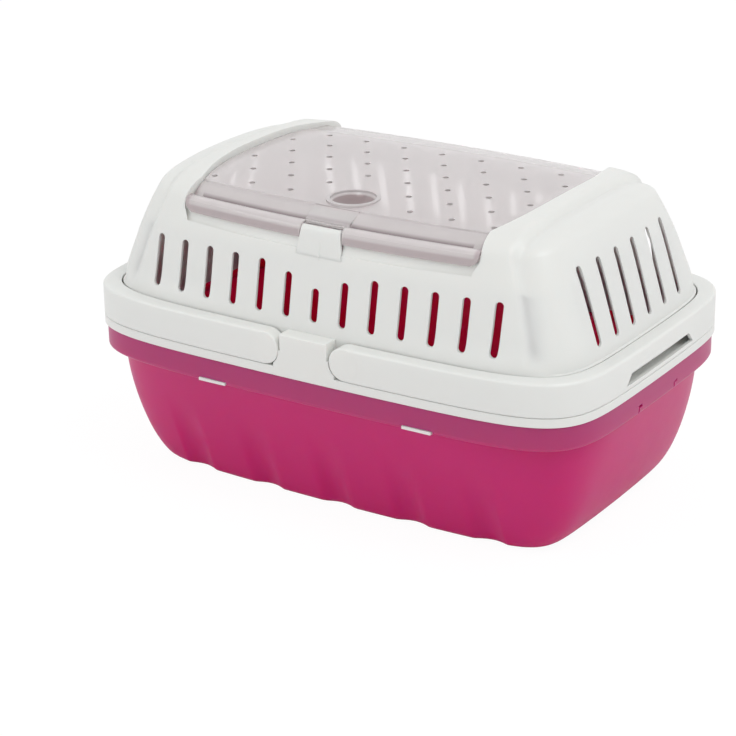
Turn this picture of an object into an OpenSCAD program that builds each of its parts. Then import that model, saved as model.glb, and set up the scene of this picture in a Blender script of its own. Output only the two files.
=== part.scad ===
/* [Overall] */
// length over the rim, along X
length = 400; // [360:1:440]
// width over the rim, along Y
width = 260; // [236:1:290]
// height from the floor to the top of the end arches
height = 224; // [216:1:240]

/* [Tub] */
// height of the joint line between the tub and the shell
seam_height = 107; // [95:1:115]
// height of the outward lip at the top of the tub
lip_height = 18; // [12:0.5:24]
// how far the lip stands out beyond the wall below it
lip_overhang = 7; // [5:0.5:9]
// wall thickness of the tub
tub_wall = 2.2; // [1.6:0.1:3]
// how far the ends pull in between the lip and the floor
end_pull = 50; // [30:1:60]
// how far the long sides pull in between the lip and the floor
side_pull = 30; // [15:1:40]
// spacing of the five upright flutes on each long side
flute_pitch = 60; // [45:1:62]
// width of one flute
flute_width = 26; // [16:1:32]
// depth of one flute at the floor
flute_depth = 3.6; // [1:0.1:5]
// height at which a flute has faded out
flute_height = 68; // [40:1:80]

/* [Shell] */
// wall thickness of the shell
shell_wall = 2.2; // [1.6:0.1:3]
// height of the fixed flange under the handles
flange_height = 6.5; // [4:0.5:9]
// height of the band round the rim that the handles fill
band_height = 24; // [20:0.5:28]
// depth of the ledge that the handles lie on
rim_depth = 11.3; // [10:0.1:14]
// how far the end walls lean in up to the shoulder
end_lean = 24.5; // [22:0.5:34]
// how far the long walls lean in up to the shoulder
side_lean = 14.2; // [10:0.5:20]
// width of the flat crown of each end arch
arch_crown = 9; // [5:0.5:12]
// distance from the middle to the inner edge of an end arch
arch_inner = 125.5; // [112:0.5:130]
// how far the arches drop from the middle to the shoulder
arch_drop = 10; // [6:0.5:14]

/* [Vents] */
// spacing of the thirteen upright slots in a long wall
side_slot_pitch = 22.5; // [18:0.5:24]
// spacing of the six upright slots in an end wall
end_slot_pitch = 23.2; // [18:0.2:26]
// width of a slot
slot_width = 6; // [3:0.5:8]
// height of the lower end of the slots above the rim
slot_rise = 7.5; // [5:0.5:12]
// height of a full slot in a long wall
side_slot_height = 35.5; // [20:0.5:40]
// height of a slot in an end wall
end_slot_height = 52; // [30:0.5:56]

/* [Lid] */
// thickness of the clear lid
lid_wall = 2; // [1.5:0.1:2.6]
// how far the lid lies below the crown of the arches
lid_drop = 4.6; // [3:0.1:6]
// diameter of the air holes in the lid
hole_diameter = 4.4; // [2:0.2:6]
// spacing of the air holes along X
hole_pitch = 32; // [24:1:34]
// spacing of the rows of air holes along Y
row_pitch = 23.8; // [18:0.2:25]
// radius of the round finger dish behind the latch
dish_radius = 18.3; // [12:0.1:20]
// depth of the finger dish
dish_depth = 6; // [3:0.5:9]
// radius of a lid hinge knuckle
knuckle_radius = 3.3; // [2.8:0.1:4.5]

/* [Latch] */
// width of the latch tongue at its fold
tongue_width = 36; // [24:1:40]
// height of the latch tongue from its fold to its head
tongue_height = 20; // [16:0.5:24]
// thickness of the latch tongue
tongue_wall = 2.4; // [1.8:0.1:3]

/* [Handles] */
// distance from the middle to a handle pivot
pivot_offset = 32; // [28:0.5:40]
// thickness of the outer skin of a handle
handle_wall = 2.6; // [2:0.1:3.5]
// radius of a handle pivot peg
peg_radius = 4; // [3:0.1:5]
// running clearance round pegs and between moving pieces
clearance = 0.4; // [0.3:0.05:0.5]
// length of the upper edge of the slot in the grip
grip_slot_length = 84; // [60:1:95]
// height of the slot in the grip
grip_slot_height = 6.2; // [4:0.2:8]

/* [Hidden] */
// smoothness of round features
round_facets = 48;
dish_facets = 32;
// points round a quarter of the shell outline
quarter_points = 17;
// points round a quarter of the tub outline
tub_points = 25;
// polar angles that bound the corner of an outline
corner_from = 22;
corner_to = 44;
// squareness of the outlines
rim_squareness = 7;
floor_squareness = 12;
ledge_squareness = 5.5;
wall_squareness = 10;
shoulder_squareness = 9;
// bow of the long and the short sides of the rim
rim_bow = 4.5;
rim_end_bow = 3;
// bow of the long and the short walls of the shell
wall_bow = 11;
shoulder_bow = 12;
wall_end_bow = 6;
rim_top = seam_height + flange_height + band_height;
band_floor = seam_height + flange_height;
lip_floor = seam_height - lip_height;
// half sizes of the rim, of the lip and of the wall inside the rim
rim_a = length / 2;
rim_b = width / 2;
lip_inset = 1.4;
lip_a = rim_a - lip_inset;
lip_b = rim_b - lip_inset;
neck_a = rim_a - rim_depth;
neck_b = rim_b - rim_depth;
// half sizes of the shell at the rim and at the shoulder
foot_a = neck_a - 1.3;
foot_b = neck_b;
shoulder_a = foot_a - end_lean;
shoulder_b = foot_b - side_lean;
shoulder_fall = 11;
shoulder_start = 0.86;
shoulder_reach = 0.97;
// how far the shell reaches down inside the lip of the tub
skirt_depth = 8;
skirt_floor = seam_height - skirt_depth;
// cross section of the arches along X
crown_from = arch_inner + 1.5;
crown_to = arch_inner + arch_crown;
valley_depth = 1.5;
bead_drop = 3.3;
valley_width = 4.2;
flank_length = 6.5;
valley_x = crown_to + flank_length + 1;
// groove down the corner between the long wall and the end cap
groove_share = 0.885;
groove_spread = 0.034;
groove_depth = 2.4;

// share of the way round a quarter turned into a polar angle
function spread(u) =
    u < 0.2 ? u / 0.2 * corner_from :
    u < 0.65 ? corner_from + (u - 0.2) / 0.45 * (corner_to - corner_from) :
    corner_to + (u - 0.65) / 0.35 * (90 - corner_to);
// the same with more points along the long side
function long_spread(u) =
    u < 0.1 ? u / 0.1 * corner_from :
    u < 0.34 ? corner_from + (u - 0.1) / 0.24 * (corner_to - corner_from) :
    atan((1 - (u - 0.34) / 0.66) <= 0 ? 1e9 : tan(corner_to) / (1 - (u - 0.34) / 0.66));
function polar(i, q, long) =
    let(k = floor(i / q), u = (i - k * q) / q)
    k == 0 ? (long ? long_spread(u) : spread(u)) :
    k == 1 ? 180 - (long ? long_spread(1 - u) : spread(1 - u)) :
    k == 2 ? 180 + (long ? long_spread(u) : spread(u)) :
    360 - (long ? long_spread(1 - u) : spread(1 - u));
// a squared oval in the plane, with its four sides bowed outward
function oval(a, b, n, s, t, q, long = false) = [
    for (i = [0:4 * q - 1])
        let(
            f = polar(i, q, long),
            r = pow(pow(abs(cos(f)) / a, n) + pow(abs(sin(f)) / b, n), -1 / n),
            x = r * cos(f),
            y = r * sin(f)
        )
        [x * (1 - t / a * pow(y / b, 2)), y * (1 - s / b * pow(x / a, 2))]
];
function rim_oval(a, b) = oval(a, b, rim_squareness, rim_bow, rim_end_bow, quarter_points);
function flat(l) = [for (a = l) for (b = a) b];
function bell(x) = exp(-x * x);
function ease(x) = let(c = min(max(x, 0), 1)) c * c * (3 - 2 * c);

// a closed skin through a stack of rings that have the same number of points
module stack(rings) {
    n = len(rings[0]);
    m = len(rings);
    walls = [
        for (k = [0:m - 2]) for (i = [0:n - 1])
            let(j = (i + 1) % n, p = k * n, q = p + n)
            [[p + i, q + i, p + j], [p + j, q + i, q + j]]
    ];
    polyhedron(
        points = flat(rings),
        faces = concat(flat(walls), [[for (i = [0:n - 1]) i]], [[for (i = [n - 1:-1:0]) (m - 1) * n + i]])
    );
}

// TUB
// size of the tub at a share of the height of its wall
function tub_a(h) = lip_a - end_overhang - end_pull * (1 - pow(h, 0.3));
function tub_b(h) = lip_b - lip_overhang - side_pull * (1 - h);
function tub_n(h) = floor_squareness + (ledge_squareness - floor_squareness) * h;
// depth of the flutes at a place along the wall and a height
function flute(x, z) =
    let(
        k = min(max(round(x / flute_pitch), -2), 2),
        d = (x - k * flute_pitch) / (flute_width / 2)
    )
    flute_depth * ease(1.25 * (1 - z / flute_height)) * pow(max(0, 1 - d * d), 1.2);
function tub_ring(z, inset) =
    let(
        h = min(z / lip_floor, 1),
        o = oval(tub_a(h) - inset, tub_b(h) - inset, tub_n(h), rim_bow, rim_end_bow, tub_points, true)
    )
    [for (p = o) [p[0], p[1] - sign(p[1]) * (abs(p[1]) > 0.75 * tub_b(h) ? flute(p[0], z) : 0), z]];
function lip_ring(z, inset) =
    [for (p = oval(lip_a - inset, lip_b - inset, rim_squareness, rim_bow, rim_end_bow, tub_points, true))
        [p[0], p[1], z]];
// heights of the rings as shares of the wall
end_overhang = lip_overhang * 0.7;
tub_shares = [0, 0.012, 0.04, 0.09, 0.17, 0.28, 0.4, 0.52, 0.64, 0.78, 1];
function floor_ring(z, inset) = [for (p = tub_ring(0, inset)) [p[0], p[1], z]];
// the catch slits through the lip, the same on both sides when turned half round
slit_left = 78;
slit_right = 87;
slit_length = 24;
slit_height = 3;
module each_slit() {
    for (turn = [0, 180])
        rotate([0, 0, turn])
            for (x = [-slit_left, slit_right])
                translate([x, -rim_b + lip_inset, 0])
                    children();
}
// small pockets in the middle of each end
pocket_spacing = 52;
module tub_skin() {
    difference() {
        stack(concat(
            [for (s = tub_shares) tub_ring(s * lip_floor, 0)],
            [lip_ring(lip_floor + 0.4, 0.6), lip_ring(lip_floor + 1.6, 0), lip_ring(seam_height - clearance, 0)]
        ));
        stack(concat(
            [floor_ring(tub_wall + 0.3, tub_wall + 3)],
            [for (s = [0.04, 0.09, 0.17, 0.28, 0.4, 0.52, 0.64, 0.78, 1]) tub_ring(s * lip_floor + 1.6, tub_wall)],
            [lip_ring(lip_floor + tub_wall, tub_wall + 0.6), lip_ring(seam_height + 1, tub_wall)]
        ));
        each_slit()
            translate([-slit_length / 2, -6, lip_floor - 1])
                cube([slit_length, 12, slit_height + 1]);
        for (side = [-1, 1])
            for (y = [-pocket_spacing / 2, pocket_spacing / 2])
                translate([side * (rim_a - lip_inset - rim_end_bow * 0.04) - 4, y - 2.5, lip_floor + 2])
                    cube([8, 5, 2.4]);
    }
}
module base_tub() {
    color("#B8286E") resize([0, 0, 0]) tub_skin();
}

// SHELL
// height of the roof over a point of the plan, before the shoulder rounds off
function roof(x, y) =
    height - bead_drop * ease((abs(x) - crown_to) / flank_length)
    - valley_depth * bell((abs(x) - valley_x) / valley_width)
    - arch_drop * pow(min(abs(y) / shoulder_b, 1.1), 2.4);
function fall(s) =
    let(t = max(0, (s - shoulder_start) / (1 - shoulder_start)) * shoulder_reach)
    shoulder_fall * (1 - sqrt(1 - t * t));
// the groove down each corner, as a share of the size of the ring
function groove(x, a) = groove_depth / a * bell((abs(x) / a - groove_share) / groove_spread);
function lean(q) = 0.9 * q + 0.1 * pow(q, 6);
// the walls are squarest at mid height, and bow out most at the shoulder
function squareness(q) =
    rim_squareness + (wall_squareness - rim_squareness) * ease(q * 4)
    - (wall_squareness - shoulder_squareness) * ease((q - 0.55) / 0.45);
function bow(q) = rim_bow + (wall_bow - rim_bow) * ease(q * 4) + (shoulder_bow - wall_bow) * ease((q - 0.5) / 0.5);
function wall_oval(q, inset, side_inset) = oval(
    foot_a - end_lean * lean(q) - inset, foot_b - side_lean * lean(q) - side_inset,
    squareness(q), bow(q), rim_end_bow + (wall_end_bow - rim_end_bow) * q,
    quarter_points
);
// how far the underside of the roof lies below its top, less at the end caps
seat_gap = 0.5;
roof_wall = lid_drop + lid_wall + seat_gap + shell_wall;
function sink(x, thick) =
    thick ? shell_wall + (roof_wall - shell_wall) * ease((crown_to + flank_length + 2 - abs(x)) / 8) : 0;
// a ring up the wall, at a share of the height from rim to shoulder
function wall_ring(q, inset = 0, side_inset = 0, thick = false) =
    let(
        o = wall_oval(q, inset, side_inset),
        e = wall_oval(1, inset, side_inset),
        fade = inset > 0 ? 0 : ease(q * 6)
    )
    [for (i = [0:len(o) - 1])
        let(
            p = o[i],
            top = roof(e[i][0], e[i][1]) - fall(1) - sink(e[i][0], thick),
            g = groove(p[0], foot_a - end_lean * lean(q)) * fade
        )
        [p[0] * (1 - g), p[1] * (1 - g), rim_top + q * (top - rim_top)]];
// a ring on the roof, at a share of the size of the shoulder
function roof_ring(s, inset = 0, side_inset = 0, thick = false) =
    [for (p = wall_oval(1, inset, side_inset))
        let(
            g = inset > 0 ? 0 : groove(p[0], shoulder_a) * ease((s - 0.7) / 0.3),
            x = p[0] * s * (1 - g),
            y = p[1] * s * (1 - g)
        )
        [x, y, roof(x, y) - fall(s) - sink(x, thick)]];
function neck_ring(z, inset) = [for (p = rim_oval(neck_a - inset, neck_b - inset)) [p[0], p[1], z]];
module shell_outside() {
    stack(concat(
        [neck_ring(skirt_floor, 0), neck_ring(rim_top - 0.6, 0)],
        [for (q = [0.005, 0.1, 0.25, 0.45, 0.65, 0.82, 0.93]) wall_ring(q)],
        [for (s = [1, 0.98, 0.955, 0.92, 0.885, 0.85, 0.815, 0.78, 0.6, 0.1]) roof_ring(s)]
    ));
}
// the inside, thicker where the lid is let into the roof
band_wall = shell_wall + 2.9;
module shell_inside() {
    stack(concat(
        [neck_ring(skirt_floor - 1, shell_wall), neck_ring(rim_top - 2, shell_wall)],
        [for (q = [0.03, 0.35, 0.68]) wall_ring(q, shell_wall, shell_wall)],
        [for (q = [0.74, 0.92]) wall_ring(q, shell_wall, band_wall, true)],
        [for (s = [1, 0.94, 0.87, 0.78, 0.6, 0.1]) roof_ring(s, shell_wall, band_wall, true)]
    ));
}
// the fixed flange under the handles and the two blocks between their pivots
module rim_ring(z, h) {
    translate([0, 0, z])
        linear_extrude(height = h)
            difference() {
                polygon(rim_oval(rim_a, rim_b));
                polygon(rim_oval(neck_a - shell_wall / 2, neck_b - shell_wall / 2));
            }
}
lobe_radius = band_height / 2 - clearance;
pivot_height = band_floor + band_height / 2;
// the recess round a lobe, and the notch above it that the raised band turns into
recess_radius = lobe_radius + clearance + 0.15;
notch_depth = 1.2;
block_half = pivot_offset - lobe_radius + 4;
module rim_blocks() {
    difference() {
        intersection() {
            rim_ring(band_floor - 1, band_height + 1);
            translate([-block_half, -rim_b - 1, seam_height])
                cube([2 * block_half, width + 2, rim_top]);
        }
        for (side = [-1, 1])
            translate([side * pivot_offset, 0, pivot_height]) {
                rotate([90, 0, 0])
                    cylinder(h = width + 4, r = recess_radius, center = true, $fn = round_facets);
                translate([-recess_radius - notch_depth, -width, 0])
                    cube([2 * (recess_radius + notch_depth), 2 * width, band_height]);
            }
    }
}
// catch tabs that reach down behind the slits in the lip of the tub
tab_wall = 2;
module catch_tabs() {
    each_slit()
        translate([-slit_length / 2 + 1, tub_wall + 2.3, lip_floor + 2.8])
            cube([slit_length - 2, tab_wall, lip_height]);
}
// a slot cut straight along Y with round ends
module slot(z, h) {
    translate([0, 0, z])
        rotate([90, 0, 0])
            linear_extrude(height = width, center = true) {
                translate([-slot_width / 2, slot_width / 2])
                    square([slot_width, h - slot_width]);
                for (end = [slot_width / 2, h - slot_width / 2])
                    translate([0, end])
                        circle(r = slot_width / 2, $fn = 12);
            }
}
slot_floor = rim_top + slot_rise;
// how far the tops of the middle slots come down round the latch
function side_slot_cut(k) = abs(k) == 0 ? 12.5 : abs(k) == 1 ? 5 : 0;
module side_slots() {
    for (k = [-6:6])
        translate([k * side_slot_pitch, 0, 0])
            slot(slot_floor, side_slot_height - side_slot_cut(k));
}
module end_slots() {
    for (k = [-2.5:2.5])
        translate([0, k * end_slot_pitch, 0])
            rotate([0, 0, 90])
                scale([0.8, 2, 1])
                    slot(slot_floor, end_slot_height);
}

// LID
// outline of the lid across Y, from the front flange over the top to the back
lid_front = shoulder_b + 2.1;
lid_groove = lid_front - 8.6;
lid_crease = lid_front - 22;
lid_back_crease = lid_front - 27;
lid_top = height - lid_drop;
edge_bow = 10;
crease_drop = 3;
function lid_crown(y) = lid_top - crease_drop * pow(abs(y) / lid_crease, 2.5);
// distance from the middle to the end edge of the lid at a place along Y
function lid_edge(y) =
    let(v = abs(y) / lid_crease)
    arch_inner - 1 - edge_bow * pow(min(v, 1), 3) + max(v - 1, 0) * edge_bow;
flange_low = lid_top - 20;
band_low = lid_top - 10.6;
function lid_outer() = concat(
    [
        [-lid_front, flange_low],
        [-lid_front + 1, flange_low + 5.6],
        [-lid_front + 3.2, band_low - 0.6],
        [-lid_front + 6, band_low + 0.5],
        [-lid_groove, band_low - 0.3],
        [-lid_groove + 2, band_low + 0.9],
        [-lid_crease - 3.5, lid_top - crease_drop - 1.9]
    ],
    [for (y = [-1, -0.85, -0.6, -0.3, 0, 0.3, 0.6]) [y * lid_crease, lid_crown(y * lid_crease)]],
    [
        [lid_back_crease, lid_crown(lid_back_crease)],
        [lid_back_crease + 5, lid_crown(lid_back_crease) - 2.6],
        [lid_groove - 2, band_low + 1.2],
        [lid_groove + 2, band_low - 0.4],
        [lid_front - 3, band_low - 2.4],
        [lid_front - 1, flange_low + 5],
        [lid_front, flange_low]
    ]
);
// the same outline moved in by a distance, by stepping along its normals
function inward(l, d) = [
    for (i = [0:len(l) - 1])
        let(
            a = l[max(i - 1, 0)],
            b = l[min(i + 1, len(l) - 1)],
            t = (b - a) / norm(b - a)
        )
        [l[i][0] + t[1] * d, l[i][1] - t[0] * d]
];
lid_bow = 0.13;
function bowed(x) = 1 - lid_bow * pow(x / shoulder_a, 2);
function sheet_point(f, p, edge, grow) =
    let(x = f * (lid_edge(edge[0]) + grow))
    [x, p[0] * bowed(x), p[1]];
// a sheet between two outlines across Y, carried along X out to the bowed end edges
module sheet(outer, inner, grow) {
    n = len(outer);
    steps = [-1, -0.9, -0.75, -0.5, -0.25, 0, 0.25, 0.5, 0.75, 0.9, 1];
    loops = [
        for (f = steps)
            concat(
                [for (i = [0:n - 1]) sheet_point(f, outer[i], inner[i], grow)],
                [for (i = [n - 1:-1:0]) sheet_point(f, inner[i], inner[i], grow)]
            )
    ];
    m = 2 * n;
    c = len(steps);
    walls = [
        for (k = [0:c - 2]) for (i = [0:m - 1])
            let(j = (i + 1) % m, p = k * m, q = p + m)
            [[p + i, p + j, q + i], [p + j, q + j, q + i]]
    ];
    caps = [
        for (i = [0:n - 2])
            let(a = i, b = i + 1, d = m - 1 - i, e = m - 2 - i, w = (c - 1) * m)
            [[a, e, b], [a, d, e], [w + a, w + b, w + e], [w + a, w + e, w + d]]
    ];
    polyhedron(points = flat(loops), faces = concat(flat(walls), flat(caps)));
}
// the room that the lid needs in the roof
module lid_room() {
    o = inward(lid_outer(), lid_wall + seat_gap);
    n = len(o);
    low = concat([[-lid_front - 0.5, flange_low - 7.6]], [[-lid_front + 1.7, flange_low - 7.5]],
        [for (i = [1:n - 2]) o[i]], [[lid_front - 1.7, flange_low - 7.5]], [[lid_front + 0.5, flange_low - 7.6]]);
    high = [for (p = low) [p[0] * 1.2, p[1] + 60]];
    sheet(high, low, seat_gap + 0.4);
}
// the hole in the roof that the lid closes
hatch_border = 9;
hatch_a = arch_inner - hatch_border - 4;
hatch_b = lid_front - 15;
module hatch() {
    translate([0, 0, lid_top - 30])
        linear_extrude(height = 60)
            polygon(oval(hatch_a, hatch_b, 9, 4, 5, 12));
}
// hinge along the back edge
hinge_x = 70;
knuckle_length = 20;
lug_wall = 3;
hinge_y = lid_front * bowed(hinge_x - knuckle_length / 2 - 2 * lug_wall) + knuckle_radius + clearance;
hinge_z = flange_low + 1.8;
pin_radius = knuckle_radius / 2;
module each_hinge() {
    for (side = [-1, 1])
        translate([side * hinge_x, hinge_y, hinge_z])
            children();
}
// each lug is a round ear on a web that runs down into the back wall
lug_drop = 17;
module hinge_lugs() {
    each_hinge()
        for (end = [-1, 1])
            translate([end * (knuckle_length / 2 + clearance + lug_wall / 2), 0, 0]) {
                rotate([0, 90, 0])
                    cylinder(h = lug_wall, r = knuckle_radius, center = true, $fn = round_facets);
                translate([-lug_wall / 2, -knuckle_radius, -lug_drop])
                    cube([lug_wall, 2 * knuckle_radius, lug_drop]);
            }
}
// LATCH
tongue_floor = flange_low - 10.6;
tongue_gap = 0.6;
foot_gap = 0.35;
tongue_foot = shoulder_b + 5.6;
module latch_window() {
    translate([-tongue_width / 2 - tongue_gap, -rim_b, tongue_floor - foot_gap])
        cube([tongue_width + 2 * tongue_gap, rim_b - lid_groove + 8, tongue_height + 20]);
}
module upper_shell() {
    color("#E4E6E3")
        difference() {
            union() {
                resize([0, 0, 0])
                    difference() {
                        union() {
                            shell_outside();
                            rim_ring(seam_height, flange_height);
                            rim_blocks();
                            catch_tabs();
                        }
                        shell_inside();
                        lid_room();
                        hatch();
                        side_slots();
                        end_slots();
                        latch_window();
                    }
                hinge_lugs();
            }
            each_hinge()
                rotate([0, 90, 0])
                    cylinder(h = knuckle_length * 2, r = pin_radius + clearance, center = true, $fn = round_facets);
            for (side = [-1, 1])
                translate([side * pivot_offset, 0, pivot_height])
                    rotate([90, 0, 0])
                        cylinder(h = width, r = peg_radius + clearance, center = true, $fn = round_facets);
        }
}
// front view of the tongue: narrower towards its head
tongue_taper = 3.6;
module tongue_plan() {
    translate([0, -lid_groove + 20, 0])
        rotate([90, 0, 0])
            linear_extrude(height = rim_b)
                polygon([
                    [-tongue_width / 2, tongue_floor - 1],
                    [tongue_width / 2, tongue_floor - 1],
                    [tongue_width / 2 - tongue_taper, tongue_floor + tongue_height + 5],
                    [-tongue_width / 2 + tongue_taper, tongue_floor + tongue_height + 5]
                ]);
}
module latch_tongue() {
    head = [-lid_groove - 3.4, band_low - 1.2];
    profile = [
        [-tongue_foot, tongue_floor],
        [-tongue_foot + 1.6, tongue_floor + 10],
        [-tongue_foot + 3.2, tongue_floor + tongue_height - 3],
        [head[0] - 2, head[1] + 0.6],
        head,
        [head[0], head[1] - tongue_wall],
        [head[0] - 2.2, head[1] + 0.2 - tongue_wall],
        [-tongue_foot + 3 + tongue_wall, tongue_floor + tongue_height - 5],
        [-tongue_foot + 1.6 + tongue_wall, tongue_floor + 8],
        [-tongue_foot + tongue_wall, tongue_floor]
    ];
    color("#ECEDEA")
        intersection() {
            translate([-tongue_width / 2, 0, 0])
                rotate([90, 0, 90])
                linear_extrude(height = tongue_width)
                    polygon(profile);
            tongue_plan();
        }
}
first_row = lid_crease - 14;
module lid_holes() {
    for (row = [0:5])
        for (k = [-4:4])
            let(
                x = (k + (row % 2 == 0 ? 0.5 : 0)) * hole_pitch,
                y = -first_row + row * row_pitch,
                off = norm([x, y + dish_y])
            )
            if (abs(x) < arch_inner - 10 && off > dish_radius + 5)
                translate([x, y, lid_top - 20])
                    cylinder(h = 40, r = hole_diameter / 2, $fn = 10);
}
dish_y = lid_crease - dish_radius - 0.6;
dish_z = lid_crown(dish_y) - 0.9;
// a round bowl let into the lid for a fingertip
module dish(grow) {
    big = (pow(dish_radius, 2) + pow(dish_depth, 2)) / (2 * dish_depth);
    translate([0, -dish_y, dish_z - dish_depth + big])
        intersection() {
            sphere(r = big + grow, $fn = dish_facets);
            translate([0, 0, -big - grow])
                cylinder(h = dish_depth + grow, r = dish_radius + 1.5 * grow, $fn = dish_facets);
        }
}
// the leaf that joins each knuckle to the back edge of the lid
leaf_start = lid_front * bowed(hinge_x + knuckle_length / 2) - 0.8;
module clear_lid() {
    color("#E9DEDF", 0.6)
        union() {
            resize([0, 0, 0])
                difference() {
                    union() {
                        sheet(lid_outer(), inward(lid_outer(), lid_wall), 0);
                        dish(lid_wall);
                        each_hinge()
                            translate([-knuckle_length / 2, leaf_start - hinge_y, -0.5])
                                cube([knuckle_length, hinge_y - leaf_start - knuckle_radius / 2, 4.6]);
                    }
                    dish(0);
                    translate([0, -dish_y, dish_z - 0.01])
                        cylinder(h = 10, r = dish_radius, $fn = dish_facets);
                    lid_holes();
                    translate([-tongue_width / 2 - 2, -rim_b, flange_low - 20])
                        cube([tongue_width + 4, rim_b - lid_groove - 1.6, 34]);
                }
            each_hinge()
                rotate([0, 90, 0])
                    union() {
                        cylinder(h = knuckle_length, r = knuckle_radius, center = true, $fn = round_facets);
                        cylinder(h = knuckle_length + 2 * clearance + 1.6 * lug_wall, r = pin_radius,
                            center = true, $fn = round_facets);
                    }
        }
}

// HANDLES
handle_gap = clearance;
handle_floor = band_floor + handle_gap;
handle_top = rim_top - 0.3;
top_skin = 2.4;
handle_inner = rim_depth - 1.1;
// one half of the rim oval from the front pivot round the end to the back pivot
path_steps = 52;
function rim_point(f) =
    let(
        r = pow(pow(abs(cos(f)) / rim_a, rim_squareness) + pow(abs(sin(f)) / rim_b, rim_squareness),
            -1 / rim_squareness),
        x = r * cos(f),
        y = r * sin(f)
    )
    [x * (1 - rim_end_bow / rim_a * pow(y / rim_b, 2)), y * (1 - rim_bow / rim_b * pow(x / rim_a, 2))];
path_end = atan(rim_b / pivot_offset);
function path_angle(i) =
    let(u = 2 * i / path_steps - 1, v = abs(u))
    sign(u) * (v < 0.2 ? v / 0.2 * corner_from :
        v < 0.72 ? corner_from + (v - 0.2) / 0.52 * (corner_to - corner_from) :
        corner_to + (v - 0.72) / 0.28 * (path_end - corner_to));
function path_normal(f) =
    let(t = rim_point(f + 0.2) - rim_point(f - 0.2), l = norm(t))
    [-t[1] / l, t[0] / l];
// cross section of the band: distance in from the rim, and height
band_section = [
    [0, handle_floor],
    [0, handle_top - 2],
    [0.6, handle_top - 0.6],
    [2, handle_top],
    [handle_inner, handle_top],
    [handle_inner, handle_top - top_skin],
    [handle_wall, handle_top - top_skin],
    [handle_wall, handle_floor]
];
module band() {
    n = len(band_section);
    rings = [
        for (i = [0:path_steps])
            let(f = path_angle(i), p = rim_point(f), d = path_normal(f))
            [for (s = band_section) [p[0] + d[0] * s[0], p[1] + d[1] * s[0], s[1]]]
    ];
    walls = [
        for (k = [0:path_steps - 1]) for (i = [0:n - 1])
            let(j = (i + 1) % n, p = k * n, q = p + n)
            [[p + i, p + j, q + i], [p + j, q + j, q + i]]
    ];
    w = path_steps * n;
    polyhedron(
        points = flat(rings),
        faces = concat(flat(walls), [[for (i = [n - 1:-1:0]) i]], [[for (i = [0:n - 1]) w + i]])
    );
}
grip_slot_z = band_floor + 3.4;
module grip_slot() {
    translate([rim_a + 5, 0, grip_slot_z])
        rotate([90, 0, -90])
            linear_extrude(height = 5 + handle_wall + 2)
                polygon([
                    [-grip_slot_length / 2 - 7, 0],
                    [grip_slot_length / 2 + 7, 0],
                    [grip_slot_length / 2, grip_slot_height],
                    [-grip_slot_length / 2, grip_slot_height]
                ]);
}
module right_handle() {
    union() {
        resize([0, 0, 0])
            difference() {
                band();
                grip_slot();
            }
        for (side = [-1, 1])
            translate([pivot_offset, side * (rim_b - 0.3), pivot_height])
                rotate([side * 90, 0, 0]) {
                    cylinder(h = handle_inner - 0.3, r = lobe_radius, $fn = round_facets);
                    cylinder(h = rim_depth + shell_wall + 2, r = peg_radius, $fn = round_facets);
                }
    }
}
module handle_right() {
    color("#E6E8E5") right_handle();
}
module handle_left() {
    color("#E6E8E5") rotate([0, 0, 180]) right_handle();
}

base_tub();
upper_shell();
clear_lid();
latch_tongue();
handle_left();
handle_right();
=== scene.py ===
# %% [markdown]
# # A small pet carrier, dressed in Blender
#
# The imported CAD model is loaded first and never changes. Each moulding of the carrier is then made again
# as a finer mesh that stands in the same place, rides on the same moving body, and gets its own plastic.

# %% Load the fixed frame
import math

import bmesh
import bpy
import numpy as np
from mathutils import Matrix, Vector


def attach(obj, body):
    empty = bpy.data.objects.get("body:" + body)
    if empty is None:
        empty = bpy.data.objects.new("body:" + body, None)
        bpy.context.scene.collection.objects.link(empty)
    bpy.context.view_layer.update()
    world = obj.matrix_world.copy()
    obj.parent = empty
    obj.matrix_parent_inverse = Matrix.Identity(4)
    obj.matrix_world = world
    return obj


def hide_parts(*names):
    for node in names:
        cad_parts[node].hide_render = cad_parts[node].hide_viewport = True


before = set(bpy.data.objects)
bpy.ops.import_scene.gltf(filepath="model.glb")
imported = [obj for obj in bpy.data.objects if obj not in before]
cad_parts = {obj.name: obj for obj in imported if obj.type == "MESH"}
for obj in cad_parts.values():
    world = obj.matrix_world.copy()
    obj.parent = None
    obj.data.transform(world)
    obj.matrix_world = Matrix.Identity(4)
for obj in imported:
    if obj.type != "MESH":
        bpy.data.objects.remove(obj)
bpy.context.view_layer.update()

# %% [markdown]
# ## Sizes
#
# A moulding is easiest to draw in millimetres, as on its maker's drawing, and to scale to metres once, when
# its mesh is made. These are the sizes that more than one piece needs.

# %% Sizes in millimetres
MM = 0.001
LENGTH, WIDTH, HEIGHT = 400.0, 260.0, 224.0
RIM_A, RIM_B = LENGTH / 2, WIDTH / 2
SEAM = 107.0
LIP_HEIGHT, LIP_OVERHANG, LIP_INSET = 18.0, 7.0, 1.4
LIP_A, LIP_B = RIM_A - LIP_INSET, RIM_B - LIP_INSET
LIP_FLOOR = SEAM - LIP_HEIGHT
WALL = 2.2
FLANGE = 6.5
BAND_HEIGHT = 24.0
BAND_FLOOR = SEAM + FLANGE
RIM_TOP = BAND_FLOOR + BAND_HEIGHT
GAP = 0.4
RIM_DEPTH = 11.3
NECK_A, NECK_B = RIM_A - RIM_DEPTH, RIM_B - RIM_DEPTH
PIVOT_X, PIVOT_Z = 32.0, BAND_FLOOR + BAND_HEIGHT / 2
LOBE = BAND_HEIGHT / 2 - GAP
RIM_SQUARENESS, RIM_BOW, RIM_END_BOW = 7, 4.5, 3.0
PEG, PEG_HOLE = 4.0, 4.4
THROUGH = 200.0  # far enough for a cutter to pass through everything
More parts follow.
